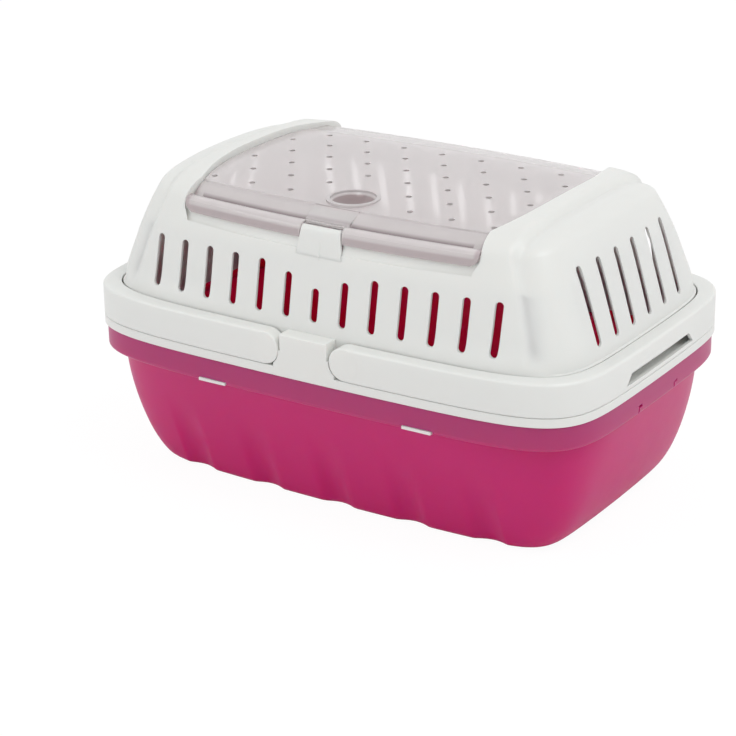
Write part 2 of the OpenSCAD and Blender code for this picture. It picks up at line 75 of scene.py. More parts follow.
print("rim top at", RIM_TOP, "mm, pivots at", PIVOT_Z, "mm")

# %% [markdown]
# ## Outlines and skins
#
# Every big moulding here has a plan shaped like a squared oval whose sides bow out a little. A stack of
# such outlines, one above the other, makes a smooth skin when neighbours are joined with four-sided faces.
# The same angles are used for each outline, so that the points line up from floor to roof.

# %% Outlines and skins
def ease(x):
    """A smooth step from 0 to 1."""
    c = np.clip(x, 0, 1)
    return c * c * (3 - 2 * c)


def bell(x):
    return np.exp(-x * x)


def outline(angles, a, b, squareness, side_bow, end_bow):
    """A squared oval of half sizes a and b, with its four sides bowed outward."""
    c, s = np.cos(angles), np.sin(angles)
    r = ((abs(c) / a) ** squareness + (abs(s) / b) ** squareness) ** (-1 / squareness)
    x, y = r * c, r * s
    return np.stack([x * (1 - end_bow / a * (y / b) ** 2), y * (1 - side_bow / b * (x / a) ** 2)], 1)


def even_angles(count, a, b, squareness, corner_share=1.5):
    """Polar angles spaced evenly along the outline, and closer together round its corners."""
    t = np.linspace(0, 2 * math.pi, 16001)
    p = outline(t, a, b, squareness, 0, 0)
    d = np.diff(p, axis=0)
    step = np.hypot(d[:, 0], d[:, 1])
    turn = np.abs(np.diff(np.unwrap(np.arctan2(d[:, 1], d[:, 0])), append=0))
    turn[-1] = turn[-2]
    weight = step / step.sum() + corner_share * turn / turn.sum()
    run = np.concatenate([[0], np.cumsum(weight)])
    return np.interp(np.linspace(0, run[-1], count, endpoint=False), run, t)


def lift(outline_points, z):
    return np.column_stack([outline_points, np.broadcast_to(z, len(outline_points))])


def between(n, rings, turned=False):
    """The four-sided faces between neighbouring rings of n points each."""
    i = np.arange(n)
    j = (i + 1) % n
    faces = []
    for k in range(rings - 1):
        p, q = k * n, (k + 1) * n
        corners = [p + i, q + i, q + j, p + j] if turned else [p + i, p + j, q + j, q + i]
        faces += np.stack(corners, 1).tolist()
    return faces


def place(name, data):
    """A new object in the scene, at the origin."""
    made = bpy.data.objects.new(name, data)
    bpy.context.scene.collection.objects.link(made)
    return made


def piece(name, points, faces):
    """A Blender object from points in millimetres, at the origin, with its place in its mesh."""
    mesh = bpy.data.meshes.new(name)
    mesh.from_pydata((np.asarray(points, float) * MM).tolist(), [], faces)
    mesh.validate()
    mesh.update()
    return place(name, mesh)


def solid(name, rings):
    """A closed piece through rings, lowest first, each counter-clockwise from above."""
    n, m = len(rings[0]), len(rings)
    return piece(name, np.concatenate(rings),
                 between(n, m) + [list(range(n))[::-1], list(range((m - 1) * n, m * n))])


def face_outward(obj):
    """Turn every face of a closed mesh to look out."""
    shape = bmesh.new()
    shape.from_mesh(obj.data)
    bmesh.ops.recalc_face_normals(shape, faces=shape.faces)
    shape.to_mesh(obj.data)
    shape.free()
    return obj


def join(name, parts):
    """One mesh object that holds several, for use as a group of cutters or islands."""
    shape = bmesh.new()
    for part in parts:
        shape.from_mesh(part.data)
    mesh = bpy.data.meshes.new(name)
    shape.to_mesh(mesh)
    shape.free()
    for part in parts:
        bpy.data.objects.remove(part)
    return place(name, mesh)


def bake(obj):
    """Turn an object and its modifiers into a plain mesh."""
    bpy.context.view_layer.update()
    graph = bpy.context.evaluated_depsgraph_get()
    mesh = bpy.data.meshes.new_from_object(obj.evaluated_get(graph))
    obj.modifiers.clear()
    obj.data = mesh
    return obj


def combine(target, other, operation):
    """Union with another closed mesh, or difference by it. The other mesh is used up."""
    cut = target.modifiers.new("cut", "BOOLEAN")
    cut.operation = operation
    cut.solver = "MANIFOLD"
    cut.object = other
    bake(target)
    bpy.data.objects.remove(other)
    return target


def add_to(target, other):
    return combine(target, other, "UNION")


def cut_from(target, other):
    return combine(target, other, "DIFFERENCE")


def finish_mesh(obj, sharp=32):
    """Smooth shading, with the edges that turn sharply kept crisp."""
    shape = bmesh.new()
    shape.from_mesh(obj.data)
    bmesh.ops.remove_doubles(shape, verts=shape.verts, dist=1e-6)
    bmesh.ops.dissolve_degenerate(shape, edges=shape.edges, dist=1e-6)
    shape.to_mesh(obj.data)
    shape.free()
    obj.data.polygons.foreach_set("use_smooth", [True] * len(obj.data.polygons))
    obj.data.set_sharp_from_angle(angle=math.radians(sharp))
    obj.data.update()
    print(obj.name, len(obj.data.polygons), "faces")
    return obj


def prism(name, plan, low, high, axis="z"):
    """A closed bar with the given outline, from low to high along one axis."""
    plan = np.asarray(plan, float)
    a, b = plan[:, 0], plan[:, 1]
    area = np.sum(a * np.roll(b, -1) - b * np.roll(a, -1))
    if area < 0:
        a, b = a[::-1], b[::-1]
    rings = []
    for level in (low, high):
        h = np.full(len(a), float(level))
        rings.append(np.stack({"x": (h, a, b), "y": (b, h, a), "z": (a, b, h)}[axis], 1))
    return solid(name, rings)


def disc_plan(u, v, radius, count=96):
    t = np.linspace(0, 2 * math.pi, count, endpoint=False)
    return np.stack([u + radius * np.cos(t), v + radius * np.sin(t)], 1)


def box(name, low, high):
    (x0, y0, z0), (x1, y1, z1) = low, high
    return prism(name, [(x0, y0), (x1, y0), (x1, y1), (x0, y1)], z0, z1)


print("helpers ready")

# %% [markdown]
# ## The tub
#
# The tub is one thin moulding. Its ends curl in towards the floor, its long sides lean in, and five shallow
# flutes stiffen each long side. An outward lip runs round the top. The outer and the inner skin are two
# stacks of outlines, and the inner one is cut out of the outer one, so that the wall has a real thickness.

# %% The tub
END_OVERHANG = LIP_OVERHANG * 0.7
END_PULL, SIDE_PULL = 50.0, 30.0
FLUTE_PITCH, FLUTE_WIDTH, FLUTE_DEPTH, FLUTE_HEIGHT = 60.0, 26.0, 3.6, 68.0
FLUTES_A_SIDE = 2  # on each side of the middle one
tub_angles = even_angles(720, LIP_A, LIP_B, 8)


def flute(x, z):
    """How far a long side is pushed in by its nearest flute."""
    k = np.clip(np.round(x / FLUTE_PITCH), -FLUTES_A_SIDE, FLUTES_A_SIDE)
    d = (x - k * FLUTE_PITCH) / (FLUTE_WIDTH / 2)
    return FLUTE_DEPTH * ease(1.25 * (1 - z / FLUTE_HEIGHT)) * np.maximum(0, 1 - d * d) ** 1.2


def tub_ring(z, inset=0.0, height=None):
    h = min(max(z / LIP_FLOOR, 0), 1)
    a = LIP_A - END_OVERHANG - END_PULL * (1 - h ** 0.3) - inset
    b = LIP_B - LIP_OVERHANG - SIDE_PULL * (1 - h) - inset
    p = outline(tub_angles, a, b, 12 - 6.5 * h, RIM_BOW, RIM_END_BOW)  # squarer towards the floor
    on_side = ease((abs(p[:, 1]) / b - 0.7) / 0.1)
    p[:, 1] -= np.sign(p[:, 1]) * on_side * flute(p[:, 0], z)
    return lift(p, z if height is None else height)


def lip_ring(z, inset=0.0):
    p = outline(tub_angles, LIP_A - inset, LIP_B - inset, RIM_SQUARENESS, RIM_BOW, RIM_END_BOW)
    return lift(p, z)


def rounding(radius, steps):
    """Inset and rise along a quarter round, from its foot to its side."""
    t = np.linspace(0, math.pi / 2, steps)
    return list(zip(radius * (1 - np.sin(t)), radius * (1 - np.cos(t))))


FLOOR_ROUND, LIP_ROUND, TOP_ROUND = 5.0, 3.2, 0.5
FILLET = 0.9  # where the wall turns out into the lip
ROOM_RISE = 1.6  # how much higher the inner skin is than the outer one at the same ring
shares = (0.075, 0.1, 0.13, 0.165, 0.2, 0.24, 0.28, 0.33, 0.38, 0.44, 0.5, 0.56, 0.62, 0.68, 0.74, 0.8, 0.86,
          0.92, 0.965)
heights = [LIP_FLOOR * share for share in shares]
outer = [tub_ring(rise, inset, rise) for inset, rise in rounding(FLOOR_ROUND, 8)]
outer += [tub_ring(z) for z in heights]
outer += [tub_ring(LIP_FLOOR, -out, LIP_FLOOR - down)
          for out, down in ((0, FILLET), (0.25, 0.25), (FILLET, 0))]
outer += [lip_ring(LIP_FLOOR + rise, inset) for inset, rise in rounding(LIP_ROUND, 7)]
outer += [lip_ring(z) for z in (LIP_FLOOR + 8, SEAM - 3, SEAM - GAP - TOP_ROUND)]
outer += [lip_ring(SEAM - GAP, TOP_ROUND)]
tub = solid("tub", outer)

inner = [tub_ring(0, WALL + 4, 2.5), tub_ring(1.2, WALL + 1.2, 3.2), tub_ring(3.2, WALL, 5.0)]
inner += [tub_ring(z, WALL, z + ROOM_RISE) for z in heights + [LIP_FLOOR]]
inner += [lip_ring(LIP_FLOOR + WALL, WALL + 0.6), lip_ring(LIP_FLOOR + WALL + 2, WALL)]
inner += [lip_ring(SEAM + 5, WALL)]
cut_from(tub, solid("tub_room", inner))

# %% [markdown]
# The white catches of the shell show as thin strips in slits under the lip. Each long side has two, and the
# far side is the near side turned half round. A small pocket shaped like a corner is moulded twice into
# each end, one deep and one shallow.

# %% Slits and pockets
SLITS = (-78.0, 87.0)
SLIT_LENGTH, SLIT_HEIGHT = 24.0, 3.0
SLIT_IN, SLIT_OUT = 5.4, 6.0
POCKET_Y, POCKET_DEEP, POCKET_SHALLOW, POCKET_OUT = 26.0, 1.7, 0.5, 3.6
POCKET = np.array([(-2.8, 7.0), (2.6, 7.0), (2.6, 5.2), (-1.2, 5.2), (-1.2, 0.6), (-2.8, 0.6)])


def slit_start(side, x):
    """Low end in X of the slit at x on one side. The far side is the near one turned half round."""
    return -side * x - SLIT_LENGTH / 2


slits = []
for side in (-1, 1):
    for x in SLITS:
        low = slit_start(side, x)
        near, far = sorted((side * (LIP_B - SLIT_IN), side * (LIP_B + SLIT_OUT)))
        slits.append(box("slit", (low, near, LIP_FLOOR - 1),
                         (low + SLIT_LENGTH, far, LIP_FLOOR + SLIT_HEIGHT)))
for side in (-1, 1):
    for y in (-POCKET_Y, POCKET_Y):
        depth = POCKET_DEEP if y * side < 0 else POCKET_SHALLOW
        x = LIP_A - 0.2
        near, far = sorted((side * (x - depth), side * (x + POCKET_OUT)))
        slits.append(prism("pocket", POCKET * [side, 1] + [y, LIP_FLOOR], near, far, "x"))
cut_from(tub, join("slits", slits))
finish_mesh(tub, 38)

# %% [markdown]
# ## The shell
#
# The shell is a deep white cover. Its walls lean in, its shoulders are rounded, and a raised arch with a
# flat crown stands at each end of the roof. A shallow groove runs down each corner. The height of the roof
# is a formula of the place on the plan, which gives the arch, the bead and the valley beside it.

# %% The shell's outer form
CROWN_EDGE = 125.5
CROWN_TO = CROWN_EDGE + 9.0
BEAD_DROP, FLANK, VALLEY_DEPTH, VALLEY_WIDTH = 3.3, 6.5, 1.5, 4.2
VALLEY_X = CROWN_TO + FLANK + 1
ARCH_DROP = 10.0
FOOT_A, FOOT_B = NECK_A - 1.3, NECK_B
END_LEAN, SIDE_LEAN = 24.5, 14.2
SHOULDER_A, SHOULDER_B = FOOT_A - END_LEAN, FOOT_B - SIDE_LEAN
SHOULDER_FALL, SHOULDER_START, SHOULDER_REACH = 11.0, 0.86, 0.97
GROOVE_SHARE, GROOVE_SPREAD, GROOVE_DEPTH = 0.885, 0.034, 2.4
END_PITCH, END_COUNT = 23.2, 6
VENT_RELIEF, VENT_MARGIN = 0.8, 20.0
LID_DROP, LID_WALL, SEAT_GAP = 4.6, 2.0, 0.5
ROOF_WALL = LID_DROP + LID_WALL + SEAT_GAP + WALL
SKIRT_FLOOR = SEAM - 8.0
shell_angles = even_angles(560, FOOT_A, FOOT_B, 9, 2.0)


def roof(x, y):
    v = np.minimum(abs(y) / SHOULDER_B, 1.1)
    return (HEIGHT - BEAD_DROP * ease((abs(x) - CROWN_TO) / FLANK)
            - VALLEY_DEPTH * bell((abs(x) - VALLEY_X) / VALLEY_WIDTH) - ARCH_DROP * v ** 2.4)


def fall(s):
    """How far the rounded shoulder drops at a share s of the way out to the edge of the roof."""
    t = np.maximum(0, (s - SHOULDER_START) / (1 - SHOULDER_START)) * SHOULDER_REACH
    return SHOULDER_FALL * (1 - np.sqrt(1 - t * t))


def groove(x, a):
    return GROOVE_DEPTH / a * bell((abs(x) / a - GROOVE_SHARE) / GROOVE_SPREAD)


def lean(q):
    """How far in the wall has leaned at a share q of its height."""
    return 0.9 * q + 0.1 * q ** 6


def wall_outline(q, inset=0.0, side_inset=0.0):
    """The wall's outline at a share q of its height. It is squarer and more bowed above the rim."""
    up, top = ease(q * 4), ease((q - 0.55) / 0.45)
    a, b = FOOT_A - END_LEAN * lean(q) - inset, FOOT_B - SIDE_LEAN * lean(q) - side_inset
    side_bow = 4.5 + 6.5 * up + ease((q - 0.5) / 0.5)
    return outline(shell_angles, a, b, RIM_SQUARENESS + 3 * up - top, side_bow, 3 + 3 * q)


def sink(x, thick):
    """How far the inner skin lies below the roof: the wall, and more under the lid's seat."""
    if not thick:
        return 0 * x
    return WALL + (ROOF_WALL - WALL) * ease((CROWN_TO + FLANK + 2 - abs(x)) / 8)


def relief(p, q):
    """The end walls are thinner across their slots, so that the slots look open from the side."""
    across = ease(((END_COUNT - 1) / 2 * END_PITCH + VENT_MARGIN - abs(p[:, 1])) / 12)
    return np.sign(p[:, 0]) * VENT_RELIEF * ease(q * 6) * ease((1 - q) * 6) * across


def wall_ring(q, inset=0.0, side_inset=0.0, thick=False):
    p, e = wall_outline(q, inset, side_inset), wall_outline(1.0, inset, side_inset)
    top = roof(e[:, 0], e[:, 1]) - fall(1.0) - sink(e[:, 0], thick)
    fade = 0 if inset > 0 else ease(q * 6)
    g = groove(p[:, 0], FOOT_A - END_LEAN * lean(q)) * fade
    p = p * (1 - g)[:, None]
    if inset > 0:
        p[:, 0] += relief(p, q)
    return np.column_stack([p, RIM_TOP + q * (top - RIM_TOP)])


def roof_ring(s, inset=0.0, side_inset=0.0, thick=False):
    p = wall_outline(1.0, inset, side_inset)
    g = 0 * p[:, 0] if inset > 0 else groove(p[:, 0], SHOULDER_A) * ease((s - 0.7) / 0.3)
    p = p * s * (1 - g)[:, None]
    return np.column_stack([p, roof(p[:, 0], p[:, 1]) - fall(s) - sink(p[:, 0], thick)])


def rim_ring(a, b, z, inset=0.0):
    """A level ring of the rim's shape, or of the neck's, which follows it."""
    return lift(outline(shell_angles, a - inset, b - inset, RIM_SQUARENESS, RIM_BOW, RIM_END_BOW), z)


outer = [rim_ring(NECK_A, NECK_B, z) for z in (SKIRT_FLOOR, SEAM, RIM_TOP - 2, RIM_TOP - 0.6)]
outer += [wall_ring(q) for q in (0.004, 0.02, 0.05, 0.09, 0.14, 0.2, 0.27, 0.34, 0.42, 0.5, 0.58, 0.66, 0.73,
                                 0.8, 0.86, 0.91, 0.95, 0.98)]
outer += [roof_ring(s) for s in (1, 0.9965, 0.991, 0.983, 0.973, 0.961, 0.947, 0.932, 0.916, 0.9, 0.885, 0.87,
                                 0.855, 0.84, 0.825, 0.81, 0.795, 0.78, 0.76, 0.73, 0.69, 0.6, 0.4, 0.15)]
shell = solid("shell", outer)


def ring_bar(name, low, high, edge):
    """The flat ring between the rim and the neck, with softened outer edges."""
    levels = [(low, edge), (low + edge, 0), (high - edge, 0), (high, edge)]
    bar = solid(name, [rim_ring(RIM_A, RIM_B, z, inset) for z, inset in levels])
    core = [rim_ring(NECK_A, NECK_B, z, WALL / 2) for z in (low - 1, high + 1)]
    return cut_from(bar, solid("core", core))


add_to(shell, ring_bar("flange", SEAM, BAND_FLOOR, 0.5))
print("outer form of the shell made")

# %% [markdown]
# Between the two handles a block of the shell fills the band on each long side. Its ends are hollowed to
# the round of the handle lobes, with a square notch above that the raised handle turns into.

# %% Blocks between the handle pivots
RECESS = LOBE + GAP + 0.15
NOTCH = 1.2
BLOCK_HALF = PIVOT_X - LOBE + 4
BEYOND = 300.0
blocks = ring_bar("blocks", BAND_FLOOR - 1, RIM_TOP, 0.6)
ends = [sorted((side * BLOCK_HALF, side * BEYOND)) for side in (-1, 1)]
cut_from(blocks, join("far_parts", [box("far_part", (near, -THROUGH, 0), (far, THROUGH, BEYOND))
                                    for near, far in ends]))
for side in (-1, 1):
    x = side * PIVOT_X
    cut_from(blocks, prism("recess", disc_plan(PIVOT_Z, x, RECESS), -THROUGH, THROUGH, "y"))
    cut_from(blocks, box("notch", (x - RECESS - NOTCH, -THROUGH, PIVOT_Z),
                         (x + RECESS + NOTCH, THROUGH, BEYOND)))
add_to(shell, blocks)
print("blocks added")

# %% The hollow inside
BAND_WALL = WALL + 2.9
inner = [rim_ring(NECK_A, NECK_B, z, WALL) for z in (SKIRT_FLOOR - 1, RIM_TOP - 2)]
inner += [wall_ring(q, WALL, WALL) for q in (0.03, 0.15, 0.35, 0.52, 0.68)]
inner += [wall_ring(q, WALL, BAND_WALL, True) for q in (0.74, 0.83, 0.92)]
shares = (1, 0.985, 0.965, 0.94, 0.9, 0.87, 0.84, 0.78, 0.7, 0.6, 0.3)
inner += [roof_ring(s, WALL, BAND_WALL, True) for s in shares]
cut_from(shell, solid("hollow", inner))
print("shell hollowed")

# %% [markdown]
# ## The lid's form
#
# The clear lid is a shallow tray turned upside down. One outline across the carrier says it all: a flange,
# a bead, a groove, a crease, the broad top, and the same again at the back. The outline is carried along
# the carrier between two bowed end edges, and the same form, a little larger, cuts its seat in the roof.

# %% The lid's outline across the carrier
LID_TOP = HEIGHT - LID_DROP
LID_FRONT = SHOULDER_B + 2.1
LID_GROOVE = LID_FRONT - 8.6
FRONT_GROOVE = LID_FRONT - 10.6
LID_CREASE = LID_FRONT - 22
BACK_CREASE = LID_FRONT - 27
FLANGE_LOW, BAND_LOW = LID_TOP - 20, LID_TOP - 10.6
CREASE_DROP = 3.0
LID_BOW = 0.13
EDGE_BOW = 10.0
CREASE_DEPTH = 0.9


def crown(y):
    return LID_TOP - CREASE_DROP * (abs(y) / LID_CREASE) ** 2.5


def from_corner(y, z, steps):
    """Points given by their steps from one point of the outline."""
    return [(y + a, z + b) for a, b in steps]


def lid_outer(crease_depth=CREASE_DEPTH):
    """The lid's outer outline in Y and Z: front flange, bead, groove and crease, top, and back flange."""
    before = LID_TOP - CREASE_DROP
    behind = crown(BACK_CREASE)
    front = from_corner(-LID_FRONT, FLANGE_LOW, [(0, 0), (0.35, 2.6), (1, 5.6)])
    front += from_corner(-LID_FRONT, BAND_LOW, [
        (1.7, -1.7), (2.8, -0.6), (4.4, 0.2), (6.4, 0.6), (8.3, 0.5), (9.4, 0.1), (10.2, -0.4), (11.0, -0.3),
        (11.8, 0.7), (13.2, 2.4), (15.5, 4.0)])
    front += [(-LID_CREASE - 3.5, before - 1.7), (-LID_CREASE - 0.9, before - 0.8),
              (-LID_CREASE - 0.2, before - 0.8 - crease_depth)]
    top = [(y * LID_CREASE, crown(y * LID_CREASE)) for y in [-0.992] + list(np.linspace(-0.95, 0.6, 22))]
    back = [(BACK_CREASE, behind), (BACK_CREASE + 2, behind - 0.7), (BACK_CREASE + 5, behind - 2.6)]
    back += [(LID_GROOVE - 2, BAND_LOW + 1.2), (LID_GROOVE, BAND_LOW - 0.1), (LID_GROOVE + 2, BAND_LOW - 0.4)]
    back += [(LID_FRONT - 3, BAND_LOW - 2.4), (LID_FRONT - 1.6, BAND_LOW - 4.2)]
    back += [(LID_FRONT - 1, FLANGE_LOW + 5), (LID_FRONT, FLANGE_LOW)]
    return np.array(front + top + back, float)


def inward(line, distance):
    """The same outline moved in by a distance along its normals."""
    before = np.vstack([line[:1], line[:-1]])
    after = np.vstack([line[1:], line[-1:]])
    t = after - before
    t /= np.linalg.norm(t, axis=1)[:, None]
    return np.column_stack([line[:, 0] + t[:, 1] * distance, line[:, 1] - t[:, 0] * distance])


def lid_edge(y):
    """Half length of the lid at y, which bows in towards its front and back."""
    v = abs(y) / LID_CREASE
    return CROWN_EDGE - 1 - EDGE_BOW * np.minimum(v, 1) ** 3 + np.maximum(v - 1, 0) * EDGE_BOW


def bowed(x):
    """How much the outline is drawn in at x, so that the lid's front follows the bow of the wall."""
    return 1 - LID_BOW * (x / SHOULDER_A) ** 2


def corner_trim(z, radius):
    """How far the ends of the flange are rounded off near its lower edge."""
    t = np.clip(1 - (z - FLANGE_LOW) / radius, 0, 1)
    return radius * (1 - np.sqrt(1 - t * t))


def sheet(name, outer, inner, grow, shares, trim=6.0, drop=0.0):
    """A closed sheet between two outlines, carried along the carrier out to its end edges."""
    edge = lid_edge(inner[:, 0]) + grow - corner_trim(inner[:, 1] + drop, trim)
    rings = []
    for f in shares:
        x = f * edge
        top = np.column_stack([x, outer[:, 0] * bowed(x), outer[:, 1]])
        under = np.column_stack([x, inner[:, 0] * bowed(x), inner[:, 1]])
        rings.append(np.vstack([top, under[::-1]]))
    n = len(outer)
    m = 2 * n
    faces = between(m, len(shares), True)
    last = (len(shares) - 1) * m
    for a in range(n - 1):
        b, d, e = a + 1, m - 1 - a, m - 2 - a
        faces += [[a, b, e, d], [last + a, last + d, last + e, last + b]]
    return piece(name, np.concatenate(rings), faces)


shares = np.concatenate([np.linspace(-1, -0.9, 6), np.linspace(-0.88, 0.88, 60), np.linspace(0.9, 1, 6)])
print("lid outline has", len(lid_outer()), "points")

# %% The lid's seat and the way in through the roof
SEAT_TRIM, SEAT_DROP, SEAT_HEIGHT = 8.0, 7.6, 60.0
HATCH_A, HATCH_B, HATCH_SHIFT = CROWN_EDGE - 13, LID_FRONT - 18.8, 3.8
room = inward(lid_outer(0), LID_WALL + SEAT_GAP)
low = np.vstack([from_corner(-LID_FRONT, FLANGE_LOW, [(-1.8, -6.9), (-0.7, -6.8), (2.4, -1.4)]), room[1:-1],
                 from_corner(LID_FRONT, FLANGE_LOW, [(-1.7, -7.5), (0.5, -7.6)])])
high = np.column_stack([low[:, 0] * 1.2, low[:, 1] + SEAT_HEIGHT])
cut_from(shell, sheet("seat", high, low, SEAT_GAP + 0.4, shares, SEAT_TRIM, SEAT_DROP))
hatch_angles = even_angles(160, 112.5, 87.8, 9)
hatch = outline(hatch_angles, HATCH_A, HATCH_B, 9, 2, 5) + [0, HATCH_SHIFT]
cut_from(shell, solid("hatch", [lift(hatch, LID_TOP - 30), lift(hatch, LID_TOP + 30)]))
print("seat and hatch cut")

# %% [markdown]
# ## Vents by Geometry Nodes
#
# The vents are one shape repeated along a line, which is what Geometry Nodes are for. The tree draws a bar
# with round ends, sets one on each point of a line, and realises the copies. Its sizes are named inputs,
# so the same tree makes the long rows, the shorter slots round the latch and the slots in the end walls.

# %% A small kit for node trees
def feed(tree, socket, value):
    """Set a socket to a number, or link it to another socket or to the first output of a node."""
    if isinstance(value, bpy.types.Node):
        value = next(s for s in value.outputs if s.enabled)
    if isinstance(value, bpy.types.NodeSocket):
        tree.links.new(value, socket)
    else:
        socket.default_value = value


def add(tree, kind, settings=None, **sockets):
    """One node: its settings first, then what feeds its sockets, by name."""
    node = tree.nodes.new(kind)
    for key, value in (settings or {}).items():
        setattr(node, key, value)
    for label, value in sockets.items():
        feed(tree, next(s for s in node.inputs if s.name.replace(" ", "_") == label and s.enabled), value)
    return node


def maths(tree, operation, *values):
    """A Math node and what feeds it."""
    node = add(tree, "ShaderNodeMath", {"operation": operation})
    for socket, value in zip(node.inputs, values):
        feed(tree, socket, value)
    return node


def geometry_tree(name, inputs):
    """A Geometry Nodes tree with one geometry output, and a way to its inputs by their names."""
    tree = bpy.data.node_groups.new(name, "GeometryNodeTree")
    for label, value in inputs.items():
        kind = "NodeSocketInt" if isinstance(value, int) else "NodeSocketFloat"
        tree.interface.new_socket(label, in_out="INPUT", socket_type=kind).default_value = value
    tree.interface.new_socket("Geometry", in_out="OUTPUT", socket_type="NodeSocketGeometry")
    entry = tree.nodes.new("NodeGroupInput")
    return tree, lambda label: entry.outputs[label]


def copy_to(tree, points, shape):
    """The end of a tree: the shape on every point, realised, through Set Material to the output."""
    copies = add(tree, "GeometryNodeInstanceOnPoints", Points=points, Instance=shape)
    real = add(tree, "GeometryNodeRealizeInstances", Geometry=copies)
    painted = add(tree, "GeometryNodeSetMaterial", Geometry=real)
    feed(tree, tree.nodes.new("NodeGroupOutput").inputs[0], painted)
    return tree


def grown(name, tree, values):
    """A plain mesh made by a tree, with its inputs set by their identifiers before it is evaluated."""
    holder = place(name, bpy.data.meshes.new(name))
    nodes = holder.modifiers.new("nodes", "NODES")
    nodes.node_group = tree
    for item in tree.interface.items_tree:
        if item.item_type == "SOCKET" and item.in_out == "INPUT" and item.name in values:
            nodes[item.identifier] = values[item.name]
    bake(holder)
    holder.data.name = name
    return holder


# %% The tree of a row of slots
def slot_tree():
    tree, side = geometry_tree("row_of_slots", {
        "Count": 13, "Pitch": 0.0225, "Start": 0.0, "Width": 0.006, "Height": 0.035, "Floor": 0.145,
        "Near": -0.14, "Far": 0.14})
    shape = add(tree, "GeometryNodeCurvePrimitiveQuadrilateral", Width=side("Width"), Height=side("Height"))
    rounded = add(tree, "GeometryNodeFilletCurve", {"mode": "POLY"}, Curve=shape, Count=10,
                  Radius=maths(tree, "MULTIPLY", side("Width"), 0.499))
    near = add(tree, "ShaderNodeCombineXYZ", Y=side("Near"))
    far = add(tree, "ShaderNodeCombineXYZ", Y=side("Far"))
    path = add(tree, "GeometryNodeCurvePrimitiveLine", Start=near, End=far)
    bar = add(tree, "GeometryNodeCurveToMesh", Curve=path, Profile_Curve=rounded, Fill_Caps=True)
    middle = maths(tree, "MULTIPLY_ADD", side("Height"), 0.5, side("Floor"))
    first = add(tree, "ShaderNodeCombineXYZ", X=side("Start"), Z=middle)
    step = add(tree, "ShaderNodeCombineXYZ", X=side("Pitch"))
    line = add(tree, "GeometryNodeMeshLine", {"mode": "OFFSET"}, Count=side("Count"), Start_Location=first,
               Offset=step)
    return copy_to(tree, line, bar)


row_of_slots = slot_tree()
print("slot tree has", len(row_of_slots.nodes), "nodes")

# %% The vents in the four walls
SLOT_FLOOR, SLOT_WIDTH, END_WIDTH = RIM_TOP + 7.5, 6.0, 5.6
SIDE_PITCH, SIDE_HEIGHT, PAIR_HEIGHT, MIDDLE_HEIGHT = 22.5, 35.5, 30.5, 23.0
END_HEIGHT, END_STRETCH = 52.0, 1.6
SLOT_REACH = 160.0
QUARTER_TURN = np.array([[0, 1, 0], [-1, 0, 0], [0, 0, 1.0]])


def slots(name, count, pitch, start, height, width=SLOT_WIDTH):
    return grown(name, row_of_slots, {
        "Count": count, "Pitch": pitch * MM, "Start": start * MM, "Width": width * MM, "Height": height * MM,
        "Floor": SLOT_FLOOR * MM, "Near": -SLOT_REACH * MM, "Far": SLOT_REACH * MM})


rows = [slots("left_row", 5, SIDE_PITCH, -6 * SIDE_PITCH, SIDE_HEIGHT),
        slots("right_row", 5, SIDE_PITCH, 2 * SIDE_PITCH, SIDE_HEIGHT),
        slots("pair", 2, 2 * SIDE_PITCH, -SIDE_PITCH, PAIR_HEIGHT),
        slots("middle", 1, SIDE_PITCH, 0, MIDDLE_HEIGHT)]
for row in rows:
    cut_from(shell, row)
ends = slots("end_row", END_COUNT, END_PITCH, -(END_COUNT - 1) / 2 * END_PITCH, END_HEIGHT, END_WIDTH)
co = np.array([v.co for v in ends.data.vertices]) @ QUARTER_TURN * [END_STRETCH, 1, 1]
ends.data.vertices.foreach_set("co", co.ravel())
cut_from(shell, ends)
print("vents cut:", 2 * 13 + 2 * END_COUNT)

# %% [markdown]
# ## Hinge lugs, latch window and pivot holes
#
# What the moving pieces turn in is cut true and round, with the same running gap as on the CAD solids.

# %% Lugs, window and holes
HINGE_X, KNUCKLE_LENGTH, LUG_WALL, KNUCKLE = 70.0, 20.0, 3.0, 3.3
PIN = KNUCKLE / 2
HINGE_Y = LID_FRONT * bowed(HINGE_X - KNUCKLE_LENGTH / 2 - 2 * LUG_WALL) + KNUCKLE + GAP
HINGE_Z = FLANGE_LOW + 1.8
LUG_REACH, LUG_DEPTH = 18.0, 17.0
TONGUE_WIDTH, TONGUE_HEIGHT, TONGUE_TAPER, TONGUE_GAP, FOOT_GAP = 36.0, 20.0, 3.6, 0.35, 0.12
TONGUE_FLOOR = FLANGE_LOW - 10.6
TONGUE_FOOT, TONGUE_FACE = SHOULDER_B + 4.5, SHOULDER_B + 5.6


def tongue_half(z):
    """Half width of the tongue, which narrows towards its head."""
    return TONGUE_WIDTH / 2 - TONGUE_TAPER * (z - TONGUE_FLOOR + 1) / (TONGUE_HEIGHT + 6)


def tongue_front(gap, low, high):
    """The tongue's front view in Z and X, with some room round it."""
    return [(low, -tongue_half(low) - gap), (low, tongue_half(low) + gap), (high, tongue_half(high) + gap),
            (high, -tongue_half(high) - gap)]


